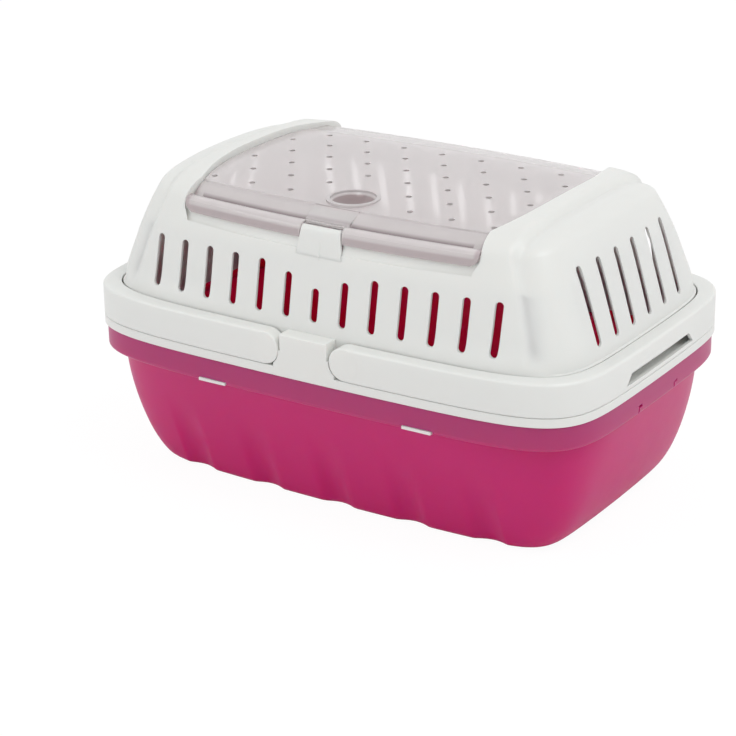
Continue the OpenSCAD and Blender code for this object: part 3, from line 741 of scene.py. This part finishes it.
window = tongue_front(TONGUE_GAP, TONGUE_FLOOR - FOOT_GAP, TONGUE_FLOOR + TONGUE_HEIGHT + 6)
cut_from(shell, prism("window", window, -RIM_B, -LID_GROOVE + 8, "y"))
RIB_HALF, RIB_BACK = 0.6, -108.2
rib_foot = [(-109.5, TONGUE_FLOOR - 4.6), (-109.35, TONGUE_FLOOR - FOOT_GAP),
            (RIB_BACK, TONGUE_FLOOR - FOOT_GAP), (RIB_BACK, TONGUE_FLOOR - 6)]
add_to(shell, prism("rib_foot", rib_foot, -RIB_HALF, RIB_HALF, "x"))
for side in (-1, 1):
    for end in (-1, 1):
        x = side * HINGE_X + end * (KNUCKLE_LENGTH / 2 + GAP + LUG_WALL / 2)
        ear = disc_plan(HINGE_Y, HINGE_Z, KNUCKLE, 48)
        ear = ear[ear[:, 1] >= HINGE_Z - 0.01]
        foot = [(HINGE_Y - KNUCKLE, HINGE_Z - LUG_DEPTH), (HINGE_Y + KNUCKLE, HINGE_Z - LUG_DEPTH)]
        add_to(shell, prism("lug", np.vstack([foot, ear]), x - LUG_WALL / 2, x + LUG_WALL / 2, "x"))
    x, hole = side * HINGE_X, disc_plan(HINGE_Y, HINGE_Z, PIN + GAP, 48)
    cut_from(shell, prism("pin_hole", hole, x - LUG_REACH, x + LUG_REACH, "x"))
    hole = disc_plan(PIVOT_Z, side * PIVOT_X, PEG_HOLE, 64)
    cut_from(shell, prism("peg_hole", hole, -RIM_B + 2, RIM_B - 2, "y"))

# %% [markdown]
# Each catch is a tab that hangs down inside the lip of the tub, with a nose that fills its slit.

# %% Catches
TAB_Y, TAB_WALL, TAB_FLOOR = LIP_B - WALL - 2.1, 2.0, LIP_FLOOR + 0.5
NOSE_BACK = TAB_Y - 1.2
CATCH = (("tab", TAB_Y - TAB_WALL, TAB_Y, LIP_FLOOR + 2.8, SEAM + 1),
         ("nose", NOSE_BACK, LIP_B - 0.3, TAB_FLOOR, LIP_FLOOR + 2.6),
         ("neck", NOSE_BACK, TAB_Y, TAB_FLOOR, LIP_FLOOR + 4))
for side in (-1, 1):
    for x in SLITS:
        low = slit_start(side, x) + 1
        for name, inner_y, outer_y, floor, top in CATCH:
            near, far = sorted((side * inner_y, side * outer_y))
            add_to(shell, box(name, (low, near, floor), (low + SLIT_LENGTH - 2, far, top)))
finish_mesh(shell, 30)

# %% [markdown]
# ## The lid
#
# Air holes are set out on rows, every other row half a step along, and none where the finger dish is. A
# second small tree makes them, and it leaves out the ones that the dish or the lid's edge would cut.

# %% The tree of the air holes
def hole_tree():
    tree, side = geometry_tree("air_holes", {
        "Rows": 6, "Pitch": 0.032, "Row Pitch": 0.0238, "First Row": -0.07, "Radius": 0.0022,
        "Height": 0.219, "Half Length": 0.115, "Dish Place": -0.067, "Dish Room": 0.023})
    do = lambda operation, *values: maths(tree, operation, *values)
    across = 10
    points = add(tree, "GeometryNodePoints", Count=do("MULTIPLY", side("Rows"), across))
    index = add(tree, "GeometryNodeInputIndex")
    row = do("FLOOR", do("DIVIDE", index, across))
    column = do("SUBTRACT", do("SUBTRACT", index, do("MULTIPLY", row, across)), (across - 1) / 2)
    half_step = do("MULTIPLY", do("MODULO", row, 2), 0.5)
    x = do("MULTIPLY", do("SUBTRACT", column, half_step), side("Pitch"))
    y = do("ADD", side("First Row"), do("MULTIPLY", row, side("Row Pitch")))
    spot = add(tree, "ShaderNodeCombineXYZ", X=x, Y=y, Z=side("Height"))
    placed = add(tree, "GeometryNodeSetPosition", Geometry=points, Position=spot)
    beyond = do("GREATER_THAN", do("ABSOLUTE", x), side("Half Length"))
    dy = do("SUBTRACT", y, side("Dish Place"))
    reach = do("SQRT", do("ADD", do("MULTIPLY", x, x), do("MULTIPLY", dy, dy)))
    near = do("LESS_THAN", reach, side("Dish Room"))
    kept = add(tree, "GeometryNodeDeleteGeometry", {"domain": "POINT"}, Geometry=placed,
               Selection=do("GREATER_THAN", do("ADD", beyond, near), 0.5))
    drill = add(tree, "GeometryNodeMeshCylinder", Vertices=20, Radius=side("Radius"), Depth=0.04)
    return copy_to(tree, kept, drill)


air_holes = hole_tree()
print("air hole tree has", len(air_holes.nodes), "nodes")

# %% The lid with its dish, air holes and latch cut
DISH_RADIUS, DISH_DEPTH, DISH_ROOM = 15.8, 6.0, 5.0
DISH_Y = LID_CREASE - 18.9
DISH_Z = float(crown(DISH_Y)) - 0.9
PAD_HALF, LATCH_ROOM = 17.5, 0.9
lid = sheet("lid", lid_outer(), inward(lid_outer(0), LID_WALL), 0, shares)
bowl_radius = (DISH_RADIUS ** 2 + DISH_DEPTH ** 2) / (2 * DISH_DEPTH)


def bowl(name, grow, rim):
    """A cap of a sphere with a flat top, as a stack of rings."""
    middle = DISH_Z - DISH_DEPTH + bowl_radius
    radius = bowl_radius + grow
    t = np.linspace(0, 2 * math.pi, 96, endpoint=False)
    top_angle = math.acos(max(-1, min(1, (middle - DISH_Z) / radius)))
    rings = []
    for k in np.linspace(0.06, 1, 14):
        r, z = radius * math.sin(top_angle * k), middle - radius * math.cos(top_angle * k)
        rings.append(np.stack([r * np.cos(t), -DISH_Y + r * np.sin(t), z + 0 * t], 1))
    rings.append(lift(rings[-1][:, :2], DISH_Z + rim))
    return solid(name, rings)


add_to(lid, bowl("dish", LID_WALL, 1.6))
cut_from(lid, bowl("dish_room", 0, 8))
cut_from(lid, grown("holes", air_holes, {
    "Rows": 6, "Pitch": 0.032, "Row Pitch": 0.0238, "First Row": -(LID_CREASE - 14) * MM, "Radius": 0.0022,
    "Height": LID_TOP * MM, "Half Length": (CROWN_EDGE - 10) * MM, "Dish Place": -DISH_Y * MM,
    "Dish Room": (DISH_RADIUS + DISH_ROOM) * MM}))
pad = [(-97.6, 207.6), (-97.3, 209.6), (-96.4, 210.7), (-95.0, 211.5), (-84.6, 216.3), (-84.2, 215.9),
       (-84.2, 213.6), (-95.5, 207.4)]
add_to(lid, prism("pad", pad, -PAD_HALF, PAD_HALF, "x"))
cut = tongue_front(LATCH_ROOM, FLANGE_LOW - 8, FLANGE_LOW + 14)
cut_from(lid, prism("latch_cut", cut, -RIM_B, -LID_GROOVE - 1.6, "y"))
print("lid has its dish, air holes and latch cut")

# %% The lid's hinge knuckles
HALF_KNUCKLE = KNUCKLE_LENGTH / 2
PIN_REACH = HALF_KNUCKLE + GAP + 0.8 * LUG_WALL
LEAF_START = LID_FRONT * bowed(HINGE_X + HALF_KNUCKLE) - 0.8
for side in (-1, 1):
    x = side * HINGE_X
    add_to(lid, box("leaf", (x - HALF_KNUCKLE, LEAF_START, HINGE_Z - 0.5),
                    (x + HALF_KNUCKLE, HINGE_Y - KNUCKLE / 2, HINGE_Z + 4.1)))
    for name, radius, half, count in (("knuckle", KNUCKLE, HALF_KNUCKLE, 64), ("pin", PIN, PIN_REACH, 48)):
        add_to(lid, prism(name, disc_plan(HINGE_Y, HINGE_Z, radius, count), x - half, x + half, "x"))
finish_mesh(lid, 24)

# %% [markdown]
# ## The latch tongue
#
# The tongue is one bent strip that narrows towards its head. Its side view is drawn once and carried across
# in shares of a width that depends on the height. A thin rib runs down its middle, and goes on below its
# foot on the shell.

# %% The tongue and its rib
def strip(name, outline_yz, half_width, stations):
    """A closed bar with a side view in Y and Z, whose half width depends on the height."""
    line = np.asarray(outline_yz, float)
    rings = [np.column_stack([f * half_width(line[:, 1]), line]) for f in stations]
    n, last = len(line), (len(stations) - 1) * len(line)
    faces = between(n, len(stations), True) + [list(range(n)), list(range(last + n - 1, last - 1, -1))]
    return face_outward(piece(name, np.concatenate(rings), faces))


head_y, head_z = -LID_GROOVE - 3.4, BAND_LOW - 1.2
face = [(1.9, 5.0), (2.85, 10.0), (3.6, 13.5), (4.3, 16.4), (5.0, 18.1)]
back = [(6.2, 15.0), (4.9, 8.0)]
head = [(-2.5, 0.4), (-1.4, 0.5), (0, 0), (0, -2.4), (-2.2, -2.2)]
profile = [(-TONGUE_FOOT + 0.12, TONGUE_FLOOR - 0.06)] + from_corner(-TONGUE_FACE, TONGUE_FLOOR, face)
profile += from_corner(head_y, head_z, head) + from_corner(-TONGUE_FACE, TONGUE_FLOOR, back)
profile += [(-TONGUE_FOOT + 2.4, TONGUE_FLOOR)]
tongue = strip("tongue", profile, tongue_half, np.linspace(-1, 1, 13))
rib = [(-TONGUE_FOOT - 0.4, TONGUE_FLOOR + 0.1), (-TONGUE_FACE + 1.5, TONGUE_FLOOR + 5),
       (-TONGUE_FACE + 2.5, TONGUE_FLOOR + 9.8), (-TONGUE_FACE + 4.6, TONGUE_FLOOR + 9),
       (-TONGUE_FOOT + 1.4, TONGUE_FLOOR + 0.1)]
add_to(tongue, strip("rib", rib, lambda z: RIB_HALF + 0 * z, (-1, 1)))
finish_mesh(tongue, 26)

# %% [markdown]
# ## The handles
#
# Each half handle is a thin channel, open below, that follows one half of the rim. Its section is carried
# along the rim from the front pivot round the end to the back pivot. A round lobe with a peg closes each end.

# %% The right handle, and the left one by a half turn
HANDLE_FLOOR, HANDLE_TOP = BAND_FLOOR + GAP, RIM_TOP - 0.3
HANDLE_INNER, HANDLE_WALL, TOP_SKIN = RIM_DEPTH - 1.1, 2.6, 2.4
NECK_GAP = 1.0
LOBE_FACE, LOBE_EDGE = RIM_B - 0.13, 0.7
GRIP_FLOOR, GRIP_HEIGHT, GRIP_HALF, GRIP_SLANT = BAND_FLOOR + 3.4, 7.6, 49.0, 7.0


def rim_path(count):
    """Points and inward normals along the rim, from one pivot round the end to the other."""
    t = np.linspace(-math.atan(RIM_B / PIVOT_X), math.atan(RIM_B / PIVOT_X), 12001)
    p = outline(t, RIM_A, RIM_B, RIM_SQUARENESS, RIM_BOW, RIM_END_BOW)
    d = np.gradient(p, axis=0)
    turn = np.abs(np.gradient(np.unwrap(np.arctan2(d[:, 1], d[:, 0]))))
    step = np.hypot(d[:, 0], d[:, 1])
    run = np.concatenate([[0], np.cumsum((step / step.sum() + 1.2 * turn / turn.sum())[:-1])])
    number = np.arange(len(t))
    pick = np.interp(np.linspace(0, run[-1], count), run, number)
    p, d = (np.column_stack([np.interp(pick, number, line[:, k]) for k in (0, 1)]) for line in (p, d))
    d /= np.linalg.norm(d, axis=1)[:, None]
    return p, np.column_stack([-d[:, 1], d[:, 0]])


corner = [(2 - 2 * math.cos(a), HANDLE_TOP - 2 + 2 * math.sin(a)) for a in np.linspace(0, math.pi / 2, 6)]


def reach(p, d):
    """How far each point of the rim is from the neck of the shell along its normal, less a gap."""
    low, high = np.full(len(p), RIM_DEPTH / 2), np.full(len(p), RIM_DEPTH * 2)
    for _ in range(24):
        middle = (low + high) / 2
        q = p + d * middle[:, None]
        x = abs(q[:, 0]) / (1 - RIM_END_BOW / NECK_A * (q[:, 1] / NECK_B) ** 2)
        y = abs(q[:, 1]) / (1 - RIM_BOW / NECK_B * (q[:, 0] / NECK_A) ** 2)
        within = (x / NECK_A) ** RIM_SQUARENESS + (y / NECK_B) ** RIM_SQUARENESS < 1
        low, high = np.where(within, low, middle), np.where(within, middle, high)
    return low - NECK_GAP


def section(inner):
    """The channel's section: distance in from the rim, and height."""
    return [(0.4, HANDLE_FLOOR), (0, HANDLE_FLOOR + 0.4)] + corner + [
        (inner - 0.4, HANDLE_TOP), (inner, HANDLE_TOP - 0.4), (inner, HANDLE_TOP - TOP_SKIN),
        (HANDLE_WALL, HANDLE_TOP - TOP_SKIN), (HANDLE_WALL, HANDLE_FLOOR)]


def lobe(side):
    """The round end of a handle, with a softened outer edge."""
    levels = [(LOBE_FACE, LOBE - LOBE_EDGE), (LOBE_FACE - 0.25, LOBE - 0.25), (LOBE_FACE - LOBE_EDGE, LOBE),
              (LOBE_FACE - HANDLE_INNER + 0.3, LOBE)]
    rings = [np.insert(disc_plan(PIVOT_X, PIVOT_Z, radius), 1, side * y, axis=1) for y, radius in levels]
    return face_outward(solid("lobe", rings))


def right_grip():
    p, inside = rim_path(200)
    rings = [np.array([(a[0] + d[0] * s, a[1] + d[1] * s, z) for s, z in section(inner)])
             for a, d, inner in zip(p, inside, reach(p, inside))]
    grip = face_outward(solid("right_handle", rings))
    for side in (-1, 1):
        add_to(grip, lobe(side))
        near, far = sorted((side * (LOBE_FACE - 1), side * (LOBE_FACE - RIM_DEPTH - WALL - 2)))
        add_to(grip, prism("peg", disc_plan(PIVOT_Z, PIVOT_X, PEG, 64), near, far, "y"))
    top, half = GRIP_FLOOR + GRIP_HEIGHT, GRIP_HALF - GRIP_SLANT
    slot = [(-GRIP_HALF, GRIP_FLOOR), (GRIP_HALF, GRIP_FLOOR), (half, top), (-half, top)]
    return cut_from(grip, prism("grip_slot", slot, RIM_A - HANDLE_WALL - 2, RIM_A + 5, "x"))


right_handle = finish_mesh(right_grip(), 28)
left_handle = place("left_handle", right_handle.data.copy())
co = np.array([v.co for v in right_handle.data.vertices]) * [-1, -1, 1]
left_handle.data.vertices.foreach_set("co", co.ravel())
left_handle.data.update()
print("handles made")

# %% [markdown]
# ## Moulded plastic
#
# The white and the magenta pieces are moulded polypropylene: a satin skin with a very fine grain, a slightly
# uneven gloss, and a little drift of colour where the melt flowed. Each is one Principled shader whose
# colour, roughness and bump come from noise in Object coordinates. The tub's lip band also gets a darker,
# greyer tone, which is painted shade.

# %% Shader arithmetic in Python
class Wire:
    """A socket of a shader tree that can be used in Python arithmetic."""

    def __init__(self, tree, socket):
        self.tree, self.socket = tree, socket

    def maths(self, operation, other, flip=False):
        node = self.tree.nodes.new("ShaderNodeMath")
        node.operation = operation
        pair = (other, self) if flip else (self, other)
        for socket, value in zip(node.inputs, pair):
            if isinstance(value, Wire):
                self.tree.links.new(value.socket, socket)
            else:
                socket.default_value = value
        return Wire(self.tree, node.outputs[0])

    def __add__(self, other):
        return self.maths("ADD", other)

    def __mul__(self, other):
        return self.maths("MULTIPLY", other)

    def __sub__(self, other):
        return self.maths("SUBTRACT", other)

    def __rsub__(self, other):
        return self.maths("SUBTRACT", other, True)

    def __truediv__(self, other):
        return self.maths("DIVIDE", other)

    def __abs__(self):
        return self.maths("ABSOLUTE", 0.0)

    def clamp(self):
        """Held between 0 and 1."""
        return self.maths("MAXIMUM", 0.0).maths("MINIMUM", 1.0)

    __radd__, __rmul__ = __add__, __mul__


class Nodes:
    """A shader tree, emptied. node() makes any node: settings first, then values or wires for its sockets."""

    def __init__(self, owner):
        owner.use_nodes = True
        self.tree = owner.node_tree
        self.tree.nodes.clear()

    def node(self, kind, settings=None, sockets=None, output=0):
        made = self.tree.nodes.new(kind)
        for key, value in (settings or {}).items():
            setattr(made, key, value)
        for label, value in (sockets or {}).items():
            socket = made.inputs[label]
            if isinstance(value, Wire):
                self.tree.links.new(value.socket, socket)
            else:
                socket.default_value = value
        return Wire(self.tree, made.outputs[output] if made.outputs else None)

    def mix(self, factor, a, b):
        """A colour between two colours, by a wire that carries the share."""
        made = self.tree.nodes.new("ShaderNodeMix")
        made.data_type = "RGBA"
        self.tree.links.new(factor.socket, made.inputs[0])
        for socket, value in ((made.inputs[6], a), (made.inputs[7], b)):
            if isinstance(value, Wire):
                self.tree.links.new(value.socket, socket)
            else:
                socket.default_value = (*value, 1)
        return Wire(self.tree, made.outputs[2])


class Finish(Nodes):
    """A material made of nodes."""

    def __init__(self, name):
        self.material = bpy.data.materials.new(name)
        super().__init__(self.material)

    def noise(self, where, scale, detail, falloff):
        return self.node("ShaderNodeTexNoise", {}, {
            "Vector": where, "Scale": scale, "Detail": detail, "Roughness": falloff})

    def bump(self, height, strength, distance):
        return self.node("ShaderNodeBump", {}, {"Height": height, "Strength": strength, "Distance": distance})

    def surface(self, shader):
        self.node("ShaderNodeOutputMaterial", {}, {"Surface": shader})
        return self.material


print("shader kit ready")

# %% White and magenta polypropylene
def moulded(name, tone, deep, rough, grain, gloss, glow, spread, spread_scale, lip_shade=None):
    """Satin moulded plastic with a fine grain, uneven gloss and a slow drift between two close tones.
    A lip tone, if given, is painted shade on the band above the floor of the lip.
    """
    f = Finish(name)
    where = f.node("ShaderNodeTexCoord", output="Object")
    slow = f.noise(where, 14.0, 3.0, 0.55)
    fine = f.noise(where, 900.0, 2.0, 0.5)
    flow = f.noise(where, 60.0, 4.0, 0.6)
    colour = f.mix(slow, tone, deep)
    # painted shade: the band above the lip's floor is mixed towards a darker, greyer tone
    if lip_shade:
        height = f.node("ShaderNodeSeparateXYZ", {}, {"Vector": where}, "Z") * 1000.0
        colour = f.mix(((height - LIP_FLOOR) * 0.5).clamp() * 0.55, colour, lip_shade)
    bump = f.bump(fine * 0.6 + flow * 0.4, grain, 0.0004)
    body = f.node("ShaderNodeBsdfPrincipled", {}, {
        "Base Color": colour, "Roughness": flow * 0.08 + fine * 0.05 + (rough - 0.065), "Normal": bump,
        "IOR": 1.49, "Specular IOR Level": gloss, "Subsurface Weight": glow, "Subsurface Scale": spread_scale,
        "Subsurface Radius": spread})
    return f.surface(body)


white = moulded(
    "white_polypropylene", tone=(0.800, 0.806, 0.780), deep=(0.775, 0.783, 0.760), rough=0.34, grain=0.10,
    gloss=0.48, glow=0.40, spread=(1.0, 0.90, 0.86), spread_scale=0.005)
# the lip tone of the magenta plastic is painted shade
magenta = moulded(
    "magenta_polypropylene", tone=(0.590, 0.010, 0.165), deep=(0.520, 0.008, 0.150), rough=0.33, grain=0.10,
    gloss=0.38, glow=0.75, spread=(1.0, 0.12, 0.35), spread_scale=0.012, lip_shade=(0.360, 0.060, 0.170))
print("two moulded plastics")

# %% [markdown]
# ## Clear plastic
#
# The lid is clear polystyrene that looks a little milky from the side. Part of the light passes through and
# part is scattered, so what shows is a pale warm haze and a clean reflection of the studio. The dark lines of
# the crease and the groove, the darker front flange and the darker finger dish are painted shade, and the
# pale ring round the dish is a painted highlight. Each tint is a share worked out from the place on the lid.

# %% Clear polystyrene
GROOVE_END, FLANGE_END = 108.5, 112.5
FLANGE_EDGE, FLANGE_BACK, PAD_BACK = BAND_LOW - 3.6, 88.0, 84.4
CLEAR_HAZE, CLEAR_DEEP = (0.985, 0.938, 0.940), (0.970, 0.920, 0.924)


def stripe(value, middle, half):
    """1 in the middle of a stripe, falling to 0 at its edges."""
    return (1.0 - abs((value - middle) / half)).clamp()


def clear(name):
    """Hazy clear plastic, with painted shade on the crease, in the front groove, on the front flange and in
    the finger dish, and a painted highlight round the dish.
    """
    f = Finish(name)
    where = f.node("ShaderNodeTexCoord", output="Object")
    x, y, z = (f.node("ShaderNodeSeparateXYZ", {}, {"Vector": where}, axis) * 1000.0 for axis in "XYZ")
    swirl = f.noise(where, 22.0, 2.0, 0.5)
    # distances in mm: out from the middle, forward along the bowed outline, and from the middle of the dish
    along = abs(x)
    front = (y * -1.0) / (1.0 - x * x * (LID_BOW / SHOULDER_A ** 2))
    reach = (x * x + (y + DISH_Y) * (y + DISH_Y)).maths("SQRT", 0.0)
    low_or_end = ((FLANGE_EDGE - z) / 1.4).clamp() + ((along - FLANGE_END) / 2.0).clamp()
    tints = [
        # painted shade on the crease, the groove, the flange and in the dish, the pad kept pale, and a
        # painted highlight on the dish's rim: share, strength and tone
        (stripe(front, LID_CREASE + 0.5, 0.6), 0.9, (0.200, 0.160, 0.170)),
        (stripe(front, FRONT_GROOVE, 2.4) * (GROOVE_END - along).clamp(), 1.0, (0.360, 0.280, 0.300)),
        (low_or_end.clamp() * ((front - FLANGE_BACK) / 3.0).clamp(), 0.5, (0.600, 0.480, 0.500)),
        ((PAD_HALF + 0.5 - along).clamp() * (front - PAD_BACK).clamp(), 0.7, (0.980, 0.945, 0.945)),
        (((DISH_RADIUS - 0.9) - reach).clamp(), 0.8, (0.450, 0.330, 0.335)),
        (stripe(reach, DISH_RADIUS + 0.2, 1.0), 0.8, (0.990, 0.970, 0.970))]
    colour = f.mix(swirl, CLEAR_HAZE, CLEAR_DEEP)
    for share, strength, tone in tints:
        colour = f.mix(share * strength, colour, tone)
    bump = f.bump(swirl, 0.06, 0.001)
    return f.surface(f.node("ShaderNodeBsdfPrincipled", {}, {
        "Base Color": colour, "Roughness": swirl * 0.03 + 0.05, "Normal": bump, "IOR": 1.52,
        "Transmission Weight": 0.58}))


polystyrene = clear("clear_polystyrene")
print("one clear plastic")

# %% Materials, bodies and the CAD nodes they stand for
DRESS = {
    "tub": (tub, magenta, "tub", "base_tub", "tub_plastic"),
    "shell": (shell, white, "shell", "upper_shell", "shell_plastic"),
    "lid": (lid, polystyrene, "lid", "clear_lid", "clear_plastic"),
    "tongue": (tongue, white, "latch_tab", "latch_tongue", "shell_plastic"),
    "left_handle": (left_handle, white, "left_half_handle", "handle_left", "shell_plastic"),
    "right_handle": (right_handle, white, "right_half_handle", "handle_right", "shell_plastic"),
}
for name, (made, finish, body, node, slot) in DRESS.items():
    made.name = name
    made.data.materials.clear()
    made.data.materials.append(finish)
    made.data.polygons.foreach_set("material_index", [0] * len(made.data.polygons))
    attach(made, body)
    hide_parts(node)
print("pieces:", ", ".join(DRESS))

# %% [markdown]
# ## Studio
#
# The photograph was taken on white. A white world is seen by the camera, by reflections and through the
# clear lid, while a calmer level lights the carrier. One large soft lamp stands to the right and one to the
# left. The floor is white where the camera sees it, and keeps a little of the shadow.

# %% World, lamps and floor
scene = bpy.context.scene
scene.view_settings.view_transform = "Standard"
scene.world = bpy.data.worlds.new("studio")
sky = Nodes(scene.world)
camera_ray, glossy_ray, clear_ray = (sky.node("ShaderNodeLightPath", output=label) for label in (
    "Is Camera Ray", "Is Glossy Ray", "Is Transmission Ray"))
seen = camera_ray.maths("MAXIMUM", glossy_ray).maths("MAXIMUM", clear_ray)
LIT_LEVEL, SHOWN_LEVEL = 0.76, 1.0
lit, shown = (sky.node("ShaderNodeBackground", {}, {"Color": (1, 1, 1, 1), "Strength": level}) for level in (
    LIT_LEVEL, SHOWN_LEVEL))
sky.node("ShaderNodeOutputWorld", {}, {
    "Surface": sky.node("ShaderNodeMixShader", {}, {0: seen, 1: lit, 2: shown})})


def lamp(name, place, target, size, watts):
    light = bpy.data.lights.new(name, "AREA")
    light.shape, light.size, light.energy = "DISK", size, watts
    holder = bpy.data.objects.new(name, light)
    holder.location = place
    holder.rotation_euler = (Vector(target) - Vector(place)).to_track_quat("-Z", "Y").to_euler()
    scene.collection.objects.link(holder)


lamp("key", (1.5, -0.25, 2.2), (0, 0, 0.12), 1.5, 16)
lamp("fill", (-1.5, -1.8, 1.2), (0, 0, 0.12), 1.4, 6.5)

FLOOR_HALF, FLOOR_Z = 4000.0, -0.2
corners = [(x * FLOOR_HALF, y * FLOOR_HALF, FLOOR_Z) for x, y in ((-1, -1), (1, -1), (1, 1), (-1, 1))]
floor = piece("floor", corners, [[0, 1, 2, 3]])
f = Finish("white_sweep")
dust = f.node("ShaderNodeTexNoise", {}, {"Scale": 6.0})
matt = f.node("ShaderNodeBsdfDiffuse", {}, {"Color": f.mix(dust, (0.93, 0.93, 0.93), (0.92, 0.92, 0.92))})
bright = f.node("ShaderNodeEmission", {}, {"Strength": 1.03})
rays = f.node("ShaderNodeLightPath")
share = f.node("ShaderNodeMixShader", {}, {0: rays * 0.92, 1: matt, 2: bright})
floor.data.materials.append(f.surface(share))
print("studio ready")

# %% [markdown]
# ## Camera
#
# The camera stands where the photograph was taken from: in front, to the right and a little above, far
# enough away for the long lens that the nearly parallel edges ask for.

# %% Camera
PICTURE, SENSOR = 736, 36.0
FOCAL_PIXELS, CENTRE_X, CENTRE_Y = 2340.587, 407.648, 351.434
right, up, ahead = (0.84615, 0.53286, -0.00969), (-0.18764, 0.31487, 0.93040), (-0.49882, 0.78544, -0.36642)
photo_camera = bpy.data.cameras.new("photo_camera")
photo_camera.sensor_width = SENSOR
photo_camera.sensor_fit = "HORIZONTAL"
photo_camera.lens = FOCAL_PIXELS / PICTURE * SENSOR
photo_camera.shift_x = -(CENTRE_X - PICTURE / 2) / PICTURE
photo_camera.shift_y = (CENTRE_Y - PICTURE / 2) / PICTURE
camera = bpy.data.objects.new("camera", photo_camera)
turn = Matrix([[right[i], up[i], -ahead[i]] for i in range(3)]).to_4x4()
camera.matrix_world = Matrix.Translation((0.832716, -1.311175, 0.696680)) @ turn
scene.collection.objects.link(camera)
scene.camera = camera
print("camera", round(photo_camera.lens, 1), "mm")
